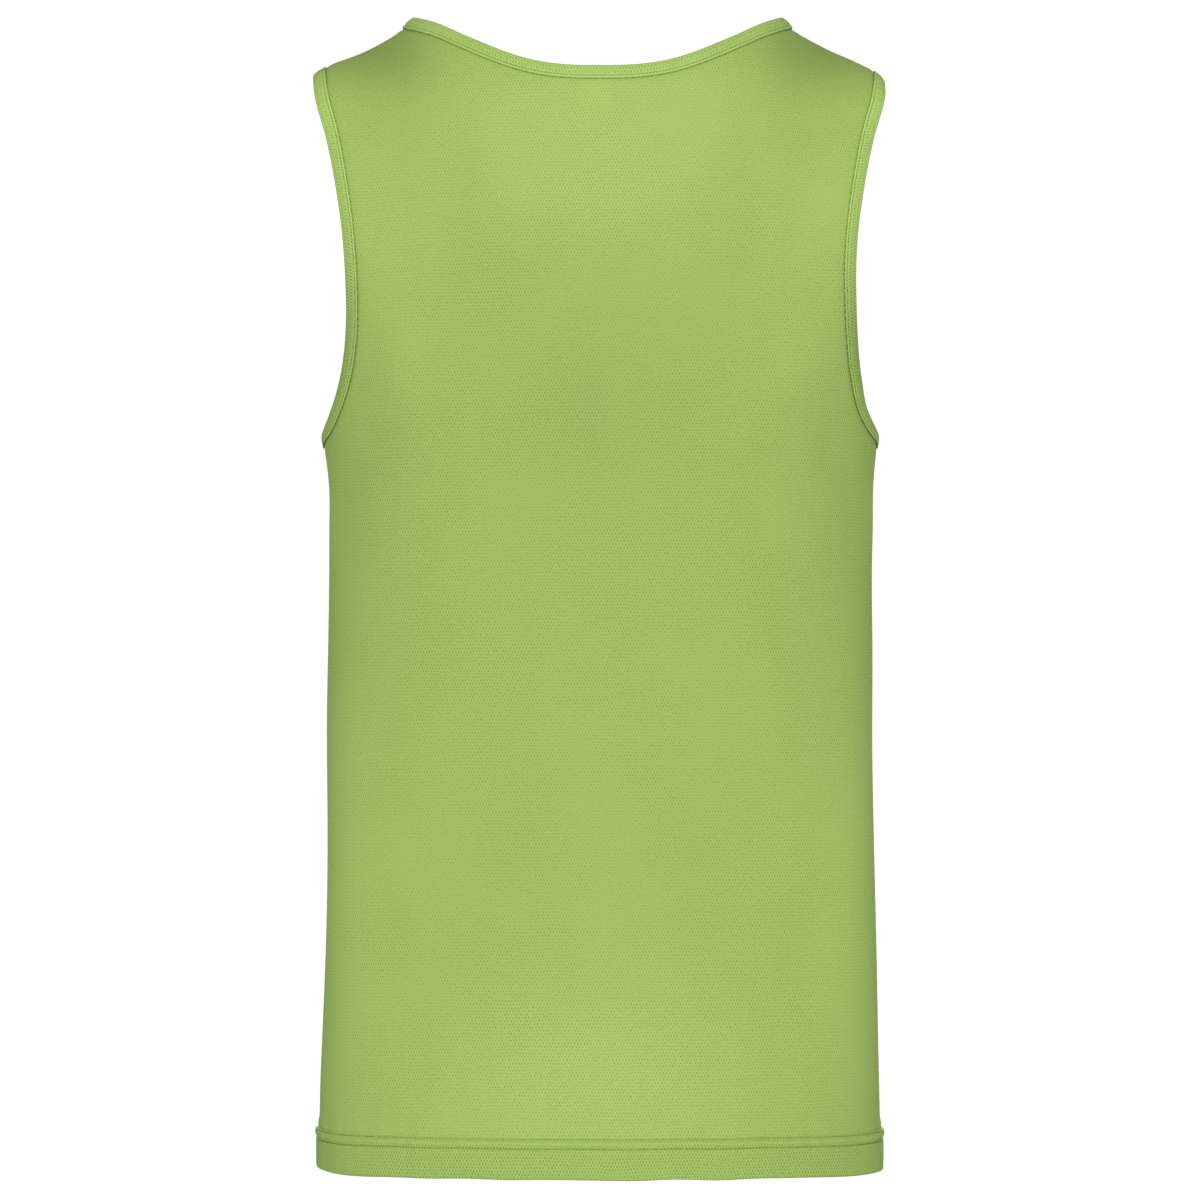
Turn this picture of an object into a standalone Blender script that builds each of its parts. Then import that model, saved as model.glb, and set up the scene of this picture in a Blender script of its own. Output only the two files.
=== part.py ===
"""Sports tank top, filled out and hollow, as it hangs from its wearer's shoulders.

Frame: +Z up, the garment's back towards -Y and its front towards +Y. The origin is midway between the two
shoulder straps, at the height of the underside of each strap's middle. Sizes are in millimetres, and each
mesh is made in metres.

The middle of the cloth's thickness follows one smooth form. A place on it has a turn, in degrees round the
body from the side seam (0) to the centre line (90), and a level, the way up the cloth from the underarm: 0
there, negative down to the hem, and SHOULDER_LEVEL on the shoulder line. The seams lie in the plane y = 0.
"""

import math
from typing import NamedTuple

import bmesh
import bpy
import numpy as np

MM = 0.001

# Heights of the main points, and the cloth.
HEM_HEIGHT = -694.3
UNDERARM_HEIGHT = -236.5
SHOULDER_TIP_HEIGHT = -14.8
SHOULDER_LEVEL = 260.0
CLOTH = 1.2  # thickness of the knitted cloth
SEAM_GAP = 0.3  # between pieces that are sewn together
SECTION_POWER = 2.3  # 2 is an ellipse, more is squarer
CENTRE_TURN = 90.0


class Section(NamedTuple):
    """The form's size at one height, where the height is measured at its side."""

    height: float
    half_width: float
    back_depth: float
    front_depth: float


SECTIONS = (
    Section(height=-694.3, half_width=174.6, back_depth=108.0, front_depth=113.0),
    Section(height=-664.0, half_width=174.2, back_depth=106.0, front_depth=112.0),
    Section(height=-600.0, half_width=172.2, back_depth=101.5, front_depth=110.0),
    Section(height=-530.0, half_width=170.2, back_depth=98.0, front_depth=109.5),
    Section(height=-450.0, half_width=169.4, back_depth=97.0, front_depth=110.5),
    Section(height=-370.0, half_width=169.1, back_depth=100.5, front_depth=114.0),
    Section(height=-300.0, half_width=168.8, back_depth=107.0, front_depth=119.0),
    Section(height=-266.0, half_width=169.2, back_depth=110.0, front_depth=121.0),
    Section(height=-244.8, half_width=171.8, back_depth=111.5, front_depth=122.0),
    Section(height=-205.0, half_width=176.5, back_depth=113.0, front_depth=122.5),
    Section(height=-160.0, half_width=182.6, back_depth=113.5, front_depth=122.0),
    Section(height=-105.0, half_width=190.8, back_depth=113.0, front_depth=121.0),
    Section(height=-60.0, half_width=201.5, back_depth=112.0, front_depth=120.0),
    Section(height=-28.0, half_width=212.7, back_depth=112.0, front_depth=120.0),
    Section(height=-14.8, half_width=215.8, back_depth=112.0, front_depth=120.0),
)


class RidgePoint(NamedTuple):
    """A point of the shoulder line, which would run on over the neck to the centre."""

    from_centre: float
    height: float


SHOULDER_LINE = (
    RidgePoint(from_centre=0.0, height=62.7),
    RidgePoint(from_centre=40.0, height=58.7),
    RidgePoint(from_centre=80.0, height=47.7),
    RidgePoint(from_centre=104.0, height=34.2),
    RidgePoint(from_centre=114.0, height=24.8),
    RidgePoint(from_centre=122.0, height=16.8),
    RidgePoint(from_centre=140.0, height=4.4),
    RidgePoint(from_centre=158.0, height=-3.8),
    RidgePoint(from_centre=178.0, height=-13.8),
    RidgePoint(from_centre=215.0, height=-41.0),
)


class Swell(NamedTuple):
    """A broad soft fold of the cloth, outwards if depth is positive, the same on both halves."""

    side: int
    from_centre: float
    height: float
    half_width: float
    half_height: float
    depth: float


SWELLS = (
    Swell(side=-1, from_centre=122.0, height=-185.0, half_width=30.0, half_height=42.0, depth=3.0),
    Swell(side=-1, from_centre=124.0, height=-105.0, half_width=18.0, half_height=75.0, depth=2.0),
    Swell(side=-1, from_centre=150.0, height=-222.0, half_width=20.0, half_height=32.0, depth=-2.0),
    Swell(side=-1, from_centre=0.0, height=-235.0, half_width=55.0, half_height=110.0, depth=-3.5),
    Swell(side=-1, from_centre=0.0, height=-610.0, half_width=70.0, half_height=60.0, depth=2.5),
    Swell(side=1, from_centre=75.0, height=-190.0, half_width=45.0, half_height=70.0, depth=2.5),
    Swell(side=1, from_centre=0.0, height=-420.0, half_width=80.0, half_height=100.0, depth=-2.0),
)
SWELL_FADE = 20.0  # how far from the seams the folds have half their depth


class HemRing(NamedTuple):
    """How far the turned-up hem's faces lie from the cloth's middle, at one height over its fold."""

    over_fold: float
    outside: float
    inside: float


HEM_RINGS = (
    HemRing(over_fold=0.0, outside=1.6, inside=0.2),
    HemRing(over_fold=1.2, outside=2.3, inside=-0.4),
    HemRing(over_fold=9.5, outside=2.6, inside=-0.4),
    HemRing(over_fold=16.8, outside=2.4, inside=-0.4),
    HemRing(over_fold=18.3, outside=1.5, inside=-0.4),
    HemRing(over_fold=19.8, outside=2.7, inside=-0.3),
    HemRing(over_fold=22.2, outside=2.6, inside=-0.3),
    HemRing(over_fold=23.8, outside=1.2, inside=-0.4),
    HemRing(over_fold=26.5, outside=0.6, inside=-0.6),
)


class Cut(NamedTuple):
    """How one body panel is cut, and how many steps its mesh has."""

    name: str
    side: int  # -1 for the back, 1 for the front
    arch_power: float  # 2 is an elliptical shoulder, more is flatter with a tighter roll
    arm_turn: float  # of the armhole where it meets the shoulder seam
    arm_scoop: float  # extra turn cut away at mid-height
    arm_power: float  # 2 is an elliptical lower armhole, more is squarer
    neck_level: float  # of the neckline at the centre
    neck_turn: float  # of the neckline where it meets the shoulder seam
    neck_power: float
    arm_split: int  # armhole steps, from the underarm, that top the side patch
    neck_split: int  # neckline steps, from the centre, that top the centre patch


BACK = Cut(
    name="back_panel", side=-1, arch_power=2.4, arm_turn=36.2, arm_scoop=-1.2, arm_power=7.7,
    neck_level=140.7, neck_turn=60.8, neck_power=2.14, arm_split=7, neck_split=8,
)
FRONT = Cut(
    name="front_panel", side=1, arch_power=1.5, arm_turn=36.2, arm_scoop=5.0, arm_power=5.0,
    neck_level=74.0, neck_turn=60.8, neck_power=2.4, arm_split=7, neck_split=7,
)

# Mesh steps.
ARM_STEPS = 20
NECK_STEPS = 16
STRAP_COLUMNS = 5
STRAP_ROWS = 26
ROW_EASE = 1.22  # 1 spaces the rows evenly, more draws them together towards the top
STRAP_FOOT_TURNS = (26.0, 56.0)  # where the patch under the strap stands on the hem

# Binding, a strip folded round each neck and armhole edge.
BINDING_WIDTH = 9.0
BINDING_LEAF = 0.9  # thickness of each of its two sides
BINDING_CHAMFER = 0.4  # on the outer edges of each side
BINDING_FOLD_STEPS = 3
FOLD_INNER = CLOTH / 2 + SEAM_GAP
FOLD_OUTER = FOLD_INNER + BINDING_LEAF

LABEL_THICKNESS = 0.9  # of the blank label inside the back neck

CLOTH_GREEN = "A9C76E"
BINDING_GREEN = "ACCA71"
LABEL_GREEN = "BCD48C"


def smooth_table(rows, column):
    """A smooth curve through a table's rows, as a function of its first column."""
    at = np.array([row[0] for row in rows])
    values = np.array([getattr(row, column) for row in rows])
    slopes = np.gradient(values, at)

    def curve(place):
        i = int(np.clip(np.searchsorted(at, place) - 1, 0, len(at) - 2))
        span = at[i + 1] - at[i]
        t = (place - at[i]) / span
        return (
            (1 + 2 * t) * (1 - t) ** 2 * values[i]
            + t * (1 - t) ** 2 * span * slopes[i]
            + t * t * (3 - 2 * t) * values[i + 1]
            + t * t * (t - 1) * span * slopes[i + 1]
        )

    return curve


half_width_at = smooth_table(SECTIONS, "half_width")
depth_at = {-1: smooth_table(SECTIONS, "back_depth"), 1: smooth_table(SECTIONS, "front_depth")}
ridge_at = smooth_table(SHOULDER_LINE, "height")


def swelling(side, x, height):
    """How far the broad folds push the cloth outwards."""
    return sum(
        swell.depth
        * math.exp(-(((x - swell.from_centre) / swell.half_width) ** 2))
        * math.exp(-(((height - swell.height) / swell.half_height) ** 2))
        for swell in SWELLS
        if swell.side == side
    )


def form_point(cut, turn, level):
    """The middle of the cloth at a turn and a level, on the +X half."""
    rise = math.sin(math.pi / 2 * max(level, 0.0) / SHOULDER_LEVEL)
    lean = math.sqrt(max(1 - rise**cut.arch_power, 0.0))
    height = UNDERARM_HEIGHT + min(level, 0.0) + (SHOULDER_TIP_HEIGHT - UNDERARM_HEIGHT) * rise
    radians = math.radians(turn)
    x = half_width_at(height) * abs(math.cos(radians)) ** (2 / SECTION_POWER)
    depth = depth_at[cut.side](height) * math.sin(radians) ** (2 / SECTION_POWER) * lean
    if level > 0:
        height = UNDERARM_HEIGHT + (ridge_at(x) - UNDERARM_HEIGHT) * rise
    depth += swelling(cut.side, x, height) * depth / (depth + SWELL_FADE)
    return np.array((x, cut.side * depth, height))


def form_slopes(cut, turn, level):
    """How the place moves per degree of turn and per unit of level."""
    turn_step = 0.05 if turn < CENTRE_TURN - 1 else -0.05
    level_step = -0.1
    here = form_point(cut, turn, level)
    across = (form_point(cut, turn + turn_step, level) - here) / turn_step
    up = (form_point(cut, turn, level + level_step) - here) / level_step
    return across, up


def form_normal(cut, turn, level):
    """The outward direction of the cloth. On a seam it lies in the seam's plane."""
    across, up = form_slopes(cut, turn, level)
    normal = np.cross(across, up) * cut.side
    if turn == 0.0 or level == SHOULDER_LEVEL:
        normal[1] = 0.0
    if turn == CENTRE_TURN:
        normal[0] = 0.0
    return normal / np.linalg.norm(normal)


def offset_point(cut, place, distance, half):
    """The point that lies a distance outside the middle of the cloth, on the half +1 or -1."""
    point = form_point(cut, *place) + form_normal(cut, *place) * distance
    return point * (half, 1, 1)


def beside(cut, place, along, distance):
    """The place that lies a distance to the left of a curve that runs along, measured on the cloth."""
    across, up = form_slopes(cut, *place)
    metric = np.array(((across @ across, across @ up), (across @ up, up @ up)))
    pull = metric @ along
    square = np.array((-pull[1], pull[0]))
    return place + square * distance / math.sqrt(square @ metric @ square)


def armhole(cut, share):
    """The armhole's finished edge, from the underarm (share 0) to the shoulder (share 1)."""
    reach = math.sqrt(max(1 - (1 - share) ** cut.arm_power, 0.0))
    scoop = cut.arm_scoop * math.sin(math.pi * share) ** 2
    return cut.arm_turn * reach + scoop, SHOULDER_LEVEL * share


def neckline(cut, share):
    """The neckline's finished edge, from the centre (share 0) to the shoulder (share 1)."""
    reach = math.sqrt(max(1 - (1 - share) ** cut.neck_power, 0.0))
    turn = CENTRE_TURN - (CENTRE_TURN - cut.neck_turn) * reach
    return turn, cut.neck_level + (SHOULDER_LEVEL - cut.neck_level) * share


def evenly(cut, curve, count):
    """Places on a curve, count steps of equal length."""
    shares = 1 - np.cos(np.linspace(0, math.pi / 2, 400))
    places = np.array([curve(cut, share) for share in shares])
    points = np.array([form_point(cut, *place) for place in places])
    travelled = np.concatenate(([0], np.cumsum(np.linalg.norm(np.diff(points, axis=0), axis=1))))
    wanted = np.linspace(0, travelled[-1], count + 1)
    return np.stack([np.interp(wanted, travelled, column) for column in places.T], axis=1)


class Edge(NamedTuple):
    """A bound edge: places on its finished edge, on the panel's raw edge and under the binding's border."""

    finished: np.ndarray
    raw: np.ndarray
    border: np.ndarray


def bound_edge(cut, curve, count, cloth_side):
    """The three lines of a bound edge. cloth_side is 1 if the cloth lies left of the curve, and -1 right."""
    finished = evenly(cut, curve, count)
    along = np.gradient(finished, axis=0)
    along[0] = (-cloth_side, 0)
    along[-1] = (0, 1)
    raw, border = (
        np.array([beside(cut, *pair, cloth_side * distance) for pair in zip(finished, along)])
        for distance in (FOLD_OUTER, BINDING_WIDTH)
    )
    for line in (raw, border):
        line[0][0] = finished[0][0]
        line[-1][1] = SHOULDER_LEVEL
    return Edge(finished, raw, border)


def rising(start, end, rows):
    """Places from start up to end, closer together towards the end."""
    share = 1 - (1 - np.linspace(0, 1, rows + 1)[:, None]) ** ROW_EASE
    return start + (end - start) * share


def filled(bottom, top, left, right):
    """A grid of places, as [row][column], that fills the four lines round it."""
    v = np.linspace(0, 1, len(left))[:, None, None]
    u = np.linspace(0, 1, len(bottom))[None, :, None]
    corners = (1 - u) * ((1 - v) * bottom[0] + v * top[0]) + u * ((1 - v) * bottom[-1] + v * top[-1])
    between_rows = (1 - v) * bottom[None] + v * top[None]
    between_columns = (1 - u) * left[:, None] + u * right[:, None]
    return between_rows + between_columns - corners


def panel_patches(cut, arm, neck):
    """The panel's +X half as named grids of places."""
    start = HEM_HEIGHT - UNDERARM_HEIGHT
    foot = start + HEM_RINGS[-1].over_fold
    seam_foot, left_foot, right_foot, centre_foot = (
        np.array((turn, foot)) for turn in (0.0, *STRAP_FOOT_TURNS, CENTRE_TURN)
    )
    side_rows = STRAP_ROWS - ARM_STEPS + cut.arm_split
    centre_rows = STRAP_ROWS - NECK_STEPS + cut.neck_split
    left = rising(left_foot, arm.border[cut.arm_split], side_rows)
    right = rising(right_foot, neck.border[cut.neck_split], centre_rows)

    side = filled(
        bottom=np.linspace(seam_foot, left_foot, cut.arm_split + 1),
        top=arm.border[: cut.arm_split + 1],
        left=rising(seam_foot, arm.border[0], side_rows),
        right=left,
    )
    centre = filled(
        bottom=np.linspace(right_foot, centre_foot, cut.neck_split + 1),
        top=neck.border[cut.neck_split :: -1],
        left=right,
        right=rising(centre_foot, neck.border[0], centre_rows),
    )
    strap = filled(
        bottom=np.linspace(left_foot, right_foot, STRAP_COLUMNS + 1),
        top=np.linspace(arm.border[-1], neck.border[-1], STRAP_COLUMNS + 1),
        left=np.concatenate((left, arm.border[cut.arm_split + 1 :])),
        right=np.concatenate((right, neck.border[cut.neck_split + 1 :])),
    )
    turns = np.concatenate((side[0], strap[0][1:], centre[0][1:]))[:, 0]
    hem = np.array([[(turn, start + ring.over_fold) for turn in turns] for ring in HEM_RINGS])
    arm_strip, neck_strip = (np.stack((edge.raw, edge.border)) for edge in (arm, neck))
    return {"side": side, "strap": strap, "centre": centre, "hem": hem, "arm": arm_strip, "neck": neck_strip}


def panel_faces(level):
    """How far the panel's outer and inner faces lie outside the middle of the cloth."""
    over_fold = level - (HEM_HEIGHT - UNDERARM_HEIGHT)
    heights = [ring.over_fold for ring in HEM_RINGS]
    outside = np.interp(over_fold, heights, [ring.outside for ring in HEM_RINGS])
    inside = np.interp(over_fold, heights, [ring.inside for ring in HEM_RINGS])
    return outside, inside


def label_faces(level):
    """How far the label's outer and inner faces lie outside the middle of the cloth."""
    return -FOLD_INNER, -FOLD_INNER - LABEL_THICKNESS


def wall_mesh(cut, patches, faces_at):
    """A closed wall over the patches and their mirror images: outer face, inner face and the rim between."""
    wall = bmesh.new()
    inner_of = {}
    outer_at = {}

    def outer_vertex(place, half):
        turn, level = place
        key = (round(turn, 3), round(level, 3), half if turn < CENTRE_TURN else 0)
        if key not in outer_at:
            pair = [offset_point(cut, (turn, level), distance, half) for distance in faces_at(level)]
            for point in pair:
                point[1] = cut.side * max(abs(point[1]), SEAM_GAP / 2)
            outer_at[key], inner = (wall.verts.new(point * MM) for point in pair)
            inner_of[outer_at[key]] = inner
        return outer_at[key]

    for half in (1, -1):
        for patch in patches:
            for low_row, high_row in zip(patch, patch[1:]):
                for corners in zip(low_row, low_row[1:], high_row[1:], high_row):
                    outer = [outer_vertex(place, half) for place in corners]
                    wall.faces.new(outer)
                    wall.faces.new([inner_of[vertex] for vertex in reversed(outer)])
    for edge in [edge for edge in wall.edges if edge.is_boundary and edge.verts[0] in inner_of]:
        start, end = edge.verts
        wall.faces.new((start, end, inner_of[end], inner_of[start]))
    return wall


def binding_section(cut, edge, i, half):
    """The outline of the folded strip, cut across at one step of its edge."""
    raw, border = (form_point(cut, *line[i]) for line in (edge.raw, edge.border))
    raw_normal, border_normal = (form_normal(cut, *line[i]) for line in (edge.raw, edge.border))
    outwards = raw - border
    outwards -= raw_normal * (outwards @ raw_normal)
    outwards /= np.linalg.norm(outwards)
    near_border = border + (raw - border) * BINDING_CHAMFER / BINDING_WIDTH

    def leaf(sign):
        """One side's outer points, from its border to the fold."""
        return [
            border + border_normal * sign * FOLD_INNER,
            border + border_normal * sign * (FOLD_OUTER - BINDING_CHAMFER),
            near_border + border_normal * sign * FOLD_OUTER,
        ]

    def fold(radius):
        """A half circle round the raw edge, from the outside to the inside."""
        angles = np.linspace(0, math.pi, BINDING_FOLD_STEPS + 1)
        return [raw + radius * (raw_normal * math.cos(a) + outwards * math.sin(a)) for a in angles]

    outline = [*leaf(1), *fold(FOLD_OUTER), *reversed(leaf(-1)), *reversed(fold(FOLD_INNER))]
    return np.array(outline) * (half, 1, 1)


def binding_run(cut, edge, half):
    """The sections of a binding along one panel's edge."""
    return [binding_section(cut, edge, i, half) for i in range(len(edge.raw))]


def ring_of(*runs):
    """The runs joined end to end into a closed ring, with one section where two meet."""
    ring = []
    for run in runs:
        if ring:
            ring[-1] = (ring[-1] + run[0]) / 2
            run = run[1:]
        ring.extend(run)
    last = ring.pop()
    ring[0] = (ring[0] + last) / 2
    return ring


def tube_mesh(ring):
    """A closed tube through a ring of sections."""
    tube = bmesh.new()
    rows = [[tube.verts.new(point * MM) for point in section] for section in ring]
    for row, next_row in zip(rows, rows[1:] + rows[:1]):
        for i in range(len(row)):
            tube.faces.new((row[i - 1], row[i], next_row[i], next_row[i - 1]))
    return tube


def label_patch(cut, centre_patch):
    """The label's +X half: the panel's cell beside the centre line, under the neck binding's border."""
    cell = centre_patch[-2:, -2:].copy()
    bottom, top = (form_point(cut, *place) for place in cell[:, 1])
    cell[1] += (cell[0] - cell[1]) * SEAM_GAP / np.linalg.norm(top - bottom)
    return cell


def knit_material(name, colour, roughness):
    """A matt polyester knit. The colour is sRGB, as six hexadecimal digits."""
    material = bpy.data.materials.new(name)
    material.use_nodes = True
    shader = material.node_tree.nodes["Principled BSDF"]
    linear = [(int(colour[i : i + 2], 16) / 255) ** 2.2 for i in (0, 2, 4)]
    shader.inputs["Base Color"].default_value = (*linear, 1.0)
    shader.inputs["Roughness"].default_value = roughness
    shader.inputs["Metallic"].default_value = 0.0
    return material


def add_object(name, form, material):
    """Puts a finished mesh into the scene under a name."""
    bmesh.ops.recalc_face_normals(form, faces=form.faces)
    bmesh.ops.triangulate(form, faces=form.faces, quad_method="SHORT_EDGE")
    mesh = bpy.data.meshes.new(name)
    form.to_mesh(mesh)
    form.free()
    mesh.shade_smooth()
    mesh.set_sharp_from_angle(angle=math.radians(50))
    mesh.materials.append(material)
    bpy.context.scene.collection.objects.link(bpy.data.objects.new(name, mesh))


def main():
    for old in list(bpy.data.objects):
        bpy.data.objects.remove(old)
    cloth = knit_material("lime_pique_knit", CLOTH_GREEN, 0.75)
    binding = knit_material("lime_binding_knit", BINDING_GREEN, 0.75)
    satin = knit_material("plain_label_satin", LABEL_GREEN, 0.5)

    arms, necks, patches = {}, {}, {}
    for cut in (BACK, FRONT):
        arms[cut] = bound_edge(cut, armhole, ARM_STEPS, cloth_side=-1)
        necks[cut] = bound_edge(cut, neckline, NECK_STEPS, cloth_side=1)
        patches[cut] = panel_patches(cut, arms[cut], necks[cut])
        add_object(cut.name, wall_mesh(cut, patches[cut].values(), panel_faces), cloth)

    for name, half in (("armhole_binding_right", 1), ("armhole_binding_left", -1)):
        back, front = (binding_run(cut, arms[cut], half) for cut in (BACK, FRONT))
        add_object(name, tube_mesh(ring_of(back, front[::-1])), binding)

    quarters = ((BACK, 1), (FRONT, 1), (FRONT, -1), (BACK, -1))
    runs = [binding_run(cut, necks[cut], half) for cut, half in quarters]
    neck_ring = ring_of(runs[0], runs[1][::-1], runs[2], runs[3][::-1])
    add_object("neck_binding", tube_mesh(neck_ring), binding)

    label = label_patch(BACK, patches[BACK]["centre"])
    add_object("neck_label", wall_mesh(BACK, [label], label_faces), satin)


main()
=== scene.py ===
"""Looks of a sports tank top in lime pique knit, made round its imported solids.

The cloth lies on the same smooth form as the solids, with a mesh fine enough for its folds. A place on the
form has a turn, in degrees round the body from the side seam (0) to the centre line (90), and a level, the
way up the cloth in millimetres from the underarm: 0 there, negative down to the hem, and SHOULDER_LEVEL on
the shoulder line. Places are arrays whose last axis holds the turn and the level. Sizes are in millimetres,
and meshes, UV maps and points in the scene are in metres. +Z is up, the garment's back is towards -Y and its
front towards +Y, and the origin is between the two straps.
"""

import logging
import math
from dataclasses import dataclass
from enum import Enum
from typing import Any, Iterable, Sequence

import bmesh
import bpy
import numpy as np
from mathutils import Matrix, Vector


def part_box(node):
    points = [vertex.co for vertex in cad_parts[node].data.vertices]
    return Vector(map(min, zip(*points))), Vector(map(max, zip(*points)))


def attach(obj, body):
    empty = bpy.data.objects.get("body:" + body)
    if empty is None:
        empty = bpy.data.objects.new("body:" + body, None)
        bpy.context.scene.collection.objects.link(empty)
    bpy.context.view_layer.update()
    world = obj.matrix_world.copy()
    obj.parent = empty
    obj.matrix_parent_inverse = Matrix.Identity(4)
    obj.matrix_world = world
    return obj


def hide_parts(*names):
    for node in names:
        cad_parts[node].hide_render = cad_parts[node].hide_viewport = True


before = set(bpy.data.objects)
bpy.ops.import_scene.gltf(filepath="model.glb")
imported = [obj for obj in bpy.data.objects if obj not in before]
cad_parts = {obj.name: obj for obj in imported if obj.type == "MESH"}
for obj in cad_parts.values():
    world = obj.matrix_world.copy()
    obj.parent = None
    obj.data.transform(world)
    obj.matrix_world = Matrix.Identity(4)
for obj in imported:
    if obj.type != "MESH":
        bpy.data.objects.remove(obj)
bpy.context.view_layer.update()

LOG = logging.getLogger("tank_top")
MM = 0.001
BODY = "root"
UV_NAME = "cloth"
PAINTED_TONE_NAME = "painted_tone"

# Driving sizes of the form, as in the solids.
HEM_HEIGHT = -694.3
UNDERARM_HEIGHT = -236.5
SHOULDER_TIP_HEIGHT = -14.8
SHOULDER_LEVEL = 260.0
HEM_LEVEL = HEM_HEIGHT - UNDERARM_HEIGHT
SECTION_POWER = 2.3  # 2 is an ellipse, more is squarer
CENTRE_TURN = 90.0
SEAM_HALF_GAP = 0.02  # from a seam's plane to the cloth's edge
ON_SEAM = 1e-4  # a turn or level this close to a seam's lies on it
MEETING = 1e-6  # in metres: vertices this close, as on neighbouring grids of cloth, are one

# Sockets of a node that mixes colours.
MIX_SHARE, MIX_FROM, MIX_TO, MIX_RESULT = 0, 6, 7, 2

CLOTH = 0.8  # thickness of the knitted cloth

# Steps of the panels' mesh. At its split, an armhole leaves the side patch for the strap's, and so does a
# neckline the centre patch.
ARM_STEPS = 88
ARM_SPLIT = 26
NECK_STEPS = 60
NECK_SPLIT = 24
STRAP_COLUMNS = 22
STRAP_ROWS = 198


class Side(Enum):
    """The half of the garment that a panel covers, as the sign of its y."""

    BACK = -1
    FRONT = 1


class Slot(Enum):
    """The record's material slots."""

    BODY = "body_knit"
    BINDING = "binding_knit"
    LABEL = "label_satin"


@dataclass(frozen=True)
class Curve:
    """A smooth curve through the points of a table.

    Attributes:
        at: The places of the table's rows, rising.
        values: The value at each.
    """

    at: Sequence[float]
    values: Sequence[float]

    def __call__(self, place: np.ndarray) -> np.ndarray:
        """Reads the curve.

        Args:
            place: Where to read it.

        Returns:
            Its values there.
        """
        at, values = np.array(self.at), np.array(self.values)
        slopes = np.gradient(values, at)
        i = np.clip(np.searchsorted(at, place) - 1, 0, len(at) - 2)
        span = at[i + 1] - at[i]
        t = (place - at[i]) / span
        return (
            (1 + 2 * t) * (1 - t) ** 2 * values[i]
            + t * (1 - t) ** 2 * span * slopes[i]
            + t * t * (3 - 2 * t) * values[i + 1]
            + t * t * (t - 1) * span * slopes[i + 1]
        )


def places_at(turn: float | np.ndarray, level: float | np.ndarray) -> np.ndarray:
    """Places with these turns and levels, either of which may be one number for them all."""
    return np.stack(np.broadcast_arrays(turn, level), axis=-1)


def shares_up(count: int) -> np.ndarray:
    """Shares of the way up an edge, which are closest together at its foot."""
    return 1 - np.cos(np.linspace(0, math.pi / 2, count))


def unit(vectors: np.ndarray) -> np.ndarray:
    """Vectors of length one in the same directions."""
    return vectors / np.linalg.norm(vectors, axis=-1, keepdims=True)


def square_to(direction: np.ndarray, vectors: np.ndarray) -> np.ndarray:
    """Unit vectors like the ones given, but square to unit vectors of another direction."""
    return unit(vectors - direction * (vectors * direction).sum(axis=-1, keepdims=True))


def travelled_along(points: np.ndarray) -> np.ndarray:
    """The distance travelled along a line, at each of its points."""
    steps = np.linalg.norm(np.diff(points, axis=0), axis=-1)
    return np.concatenate((np.zeros((1, *steps.shape[1:])), np.cumsum(steps, axis=0)))


def hump(place: np.ndarray, middle: float | np.ndarray, spread: float) -> np.ndarray:
    """1 at the middle and less to both sides, a third of it at the spread."""
    return np.exp(-(((place - middle) / spread) ** 2))


def uneven(place: np.ndarray, wave: float, seed: int) -> np.ndarray:
    """A smooth wave of uneven spacing and height, about -1 to 1.

    Args:
        place: Where to read it.
        wave: The usual distance from crest to crest.
        seed: Which of the many such waves.

    Returns:
        Its values.
    """
    draw = np.random.default_rng(seed)
    total = np.zeros_like(place, dtype=float)
    for share in (0.62, 0.83, 1.0, 1.37, 1.9):
        total = total + np.sin(2 * math.pi * (place / (wave * share) + draw.random())) / 2.4
    return total


@dataclass(frozen=True)
class Section:
    """The form's size at one height, where the height is measured at its side."""

    height: float
    half_width: float
    back_depth: float
    front_depth: float


SECTIONS = (
    Section(height=-694.3, half_width=174.6, back_depth=108.0, front_depth=113.0),
    Section(height=-664.0, half_width=174.2, back_depth=106.0, front_depth=112.0),
    Section(height=-600.0, half_width=172.2, back_depth=101.5, front_depth=110.0),
    Section(height=-530.0, half_width=170.2, back_depth=98.0, front_depth=109.5),
    Section(height=-450.0, half_width=169.4, back_depth=97.0, front_depth=110.5),
    Section(height=-370.0, half_width=169.1, back_depth=100.5, front_depth=114.0),
    Section(height=-300.0, half_width=168.8, back_depth=107.0, front_depth=119.0),
    Section(height=-266.0, half_width=169.2, back_depth=110.0, front_depth=121.0),
    Section(height=-244.8, half_width=171.8, back_depth=111.5, front_depth=122.0),
    Section(height=-205.0, half_width=176.5, back_depth=113.0, front_depth=122.5),
    Section(height=-160.0, half_width=182.6, back_depth=113.5, front_depth=122.0),
    Section(height=-105.0, half_width=190.8, back_depth=113.0, front_depth=121.0),
    Section(height=-60.0, half_width=201.5, back_depth=112.0, front_depth=120.0),
    Section(height=-28.0, half_width=212.7, back_depth=112.0, front_depth=120.0),
    Section(height=-14.8, half_width=215.8, back_depth=112.0, front_depth=120.0),
)


@dataclass(frozen=True)
class RidgePoint:
    """A point of the shoulder line, which would run on over the neck to the centre."""

    from_centre: float
    height: float


# The first row belongs to the other half, so that the line runs level over the middle.
SHOULDER_LINE = (
    RidgePoint(from_centre=-40.0, height=58.7),
    RidgePoint(from_centre=0.0, height=62.7),
    RidgePoint(from_centre=40.0, height=58.7),
    RidgePoint(from_centre=80.0, height=47.7),
    RidgePoint(from_centre=104.0, height=34.2),
    RidgePoint(from_centre=114.0, height=24.8),
    RidgePoint(from_centre=122.0, height=16.8),
    RidgePoint(from_centre=140.0, height=4.4),
    RidgePoint(from_centre=158.0, height=-3.8),
    RidgePoint(from_centre=178.0, height=-13.8),
    RidgePoint(from_centre=215.0, height=-41.0),
)


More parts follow.
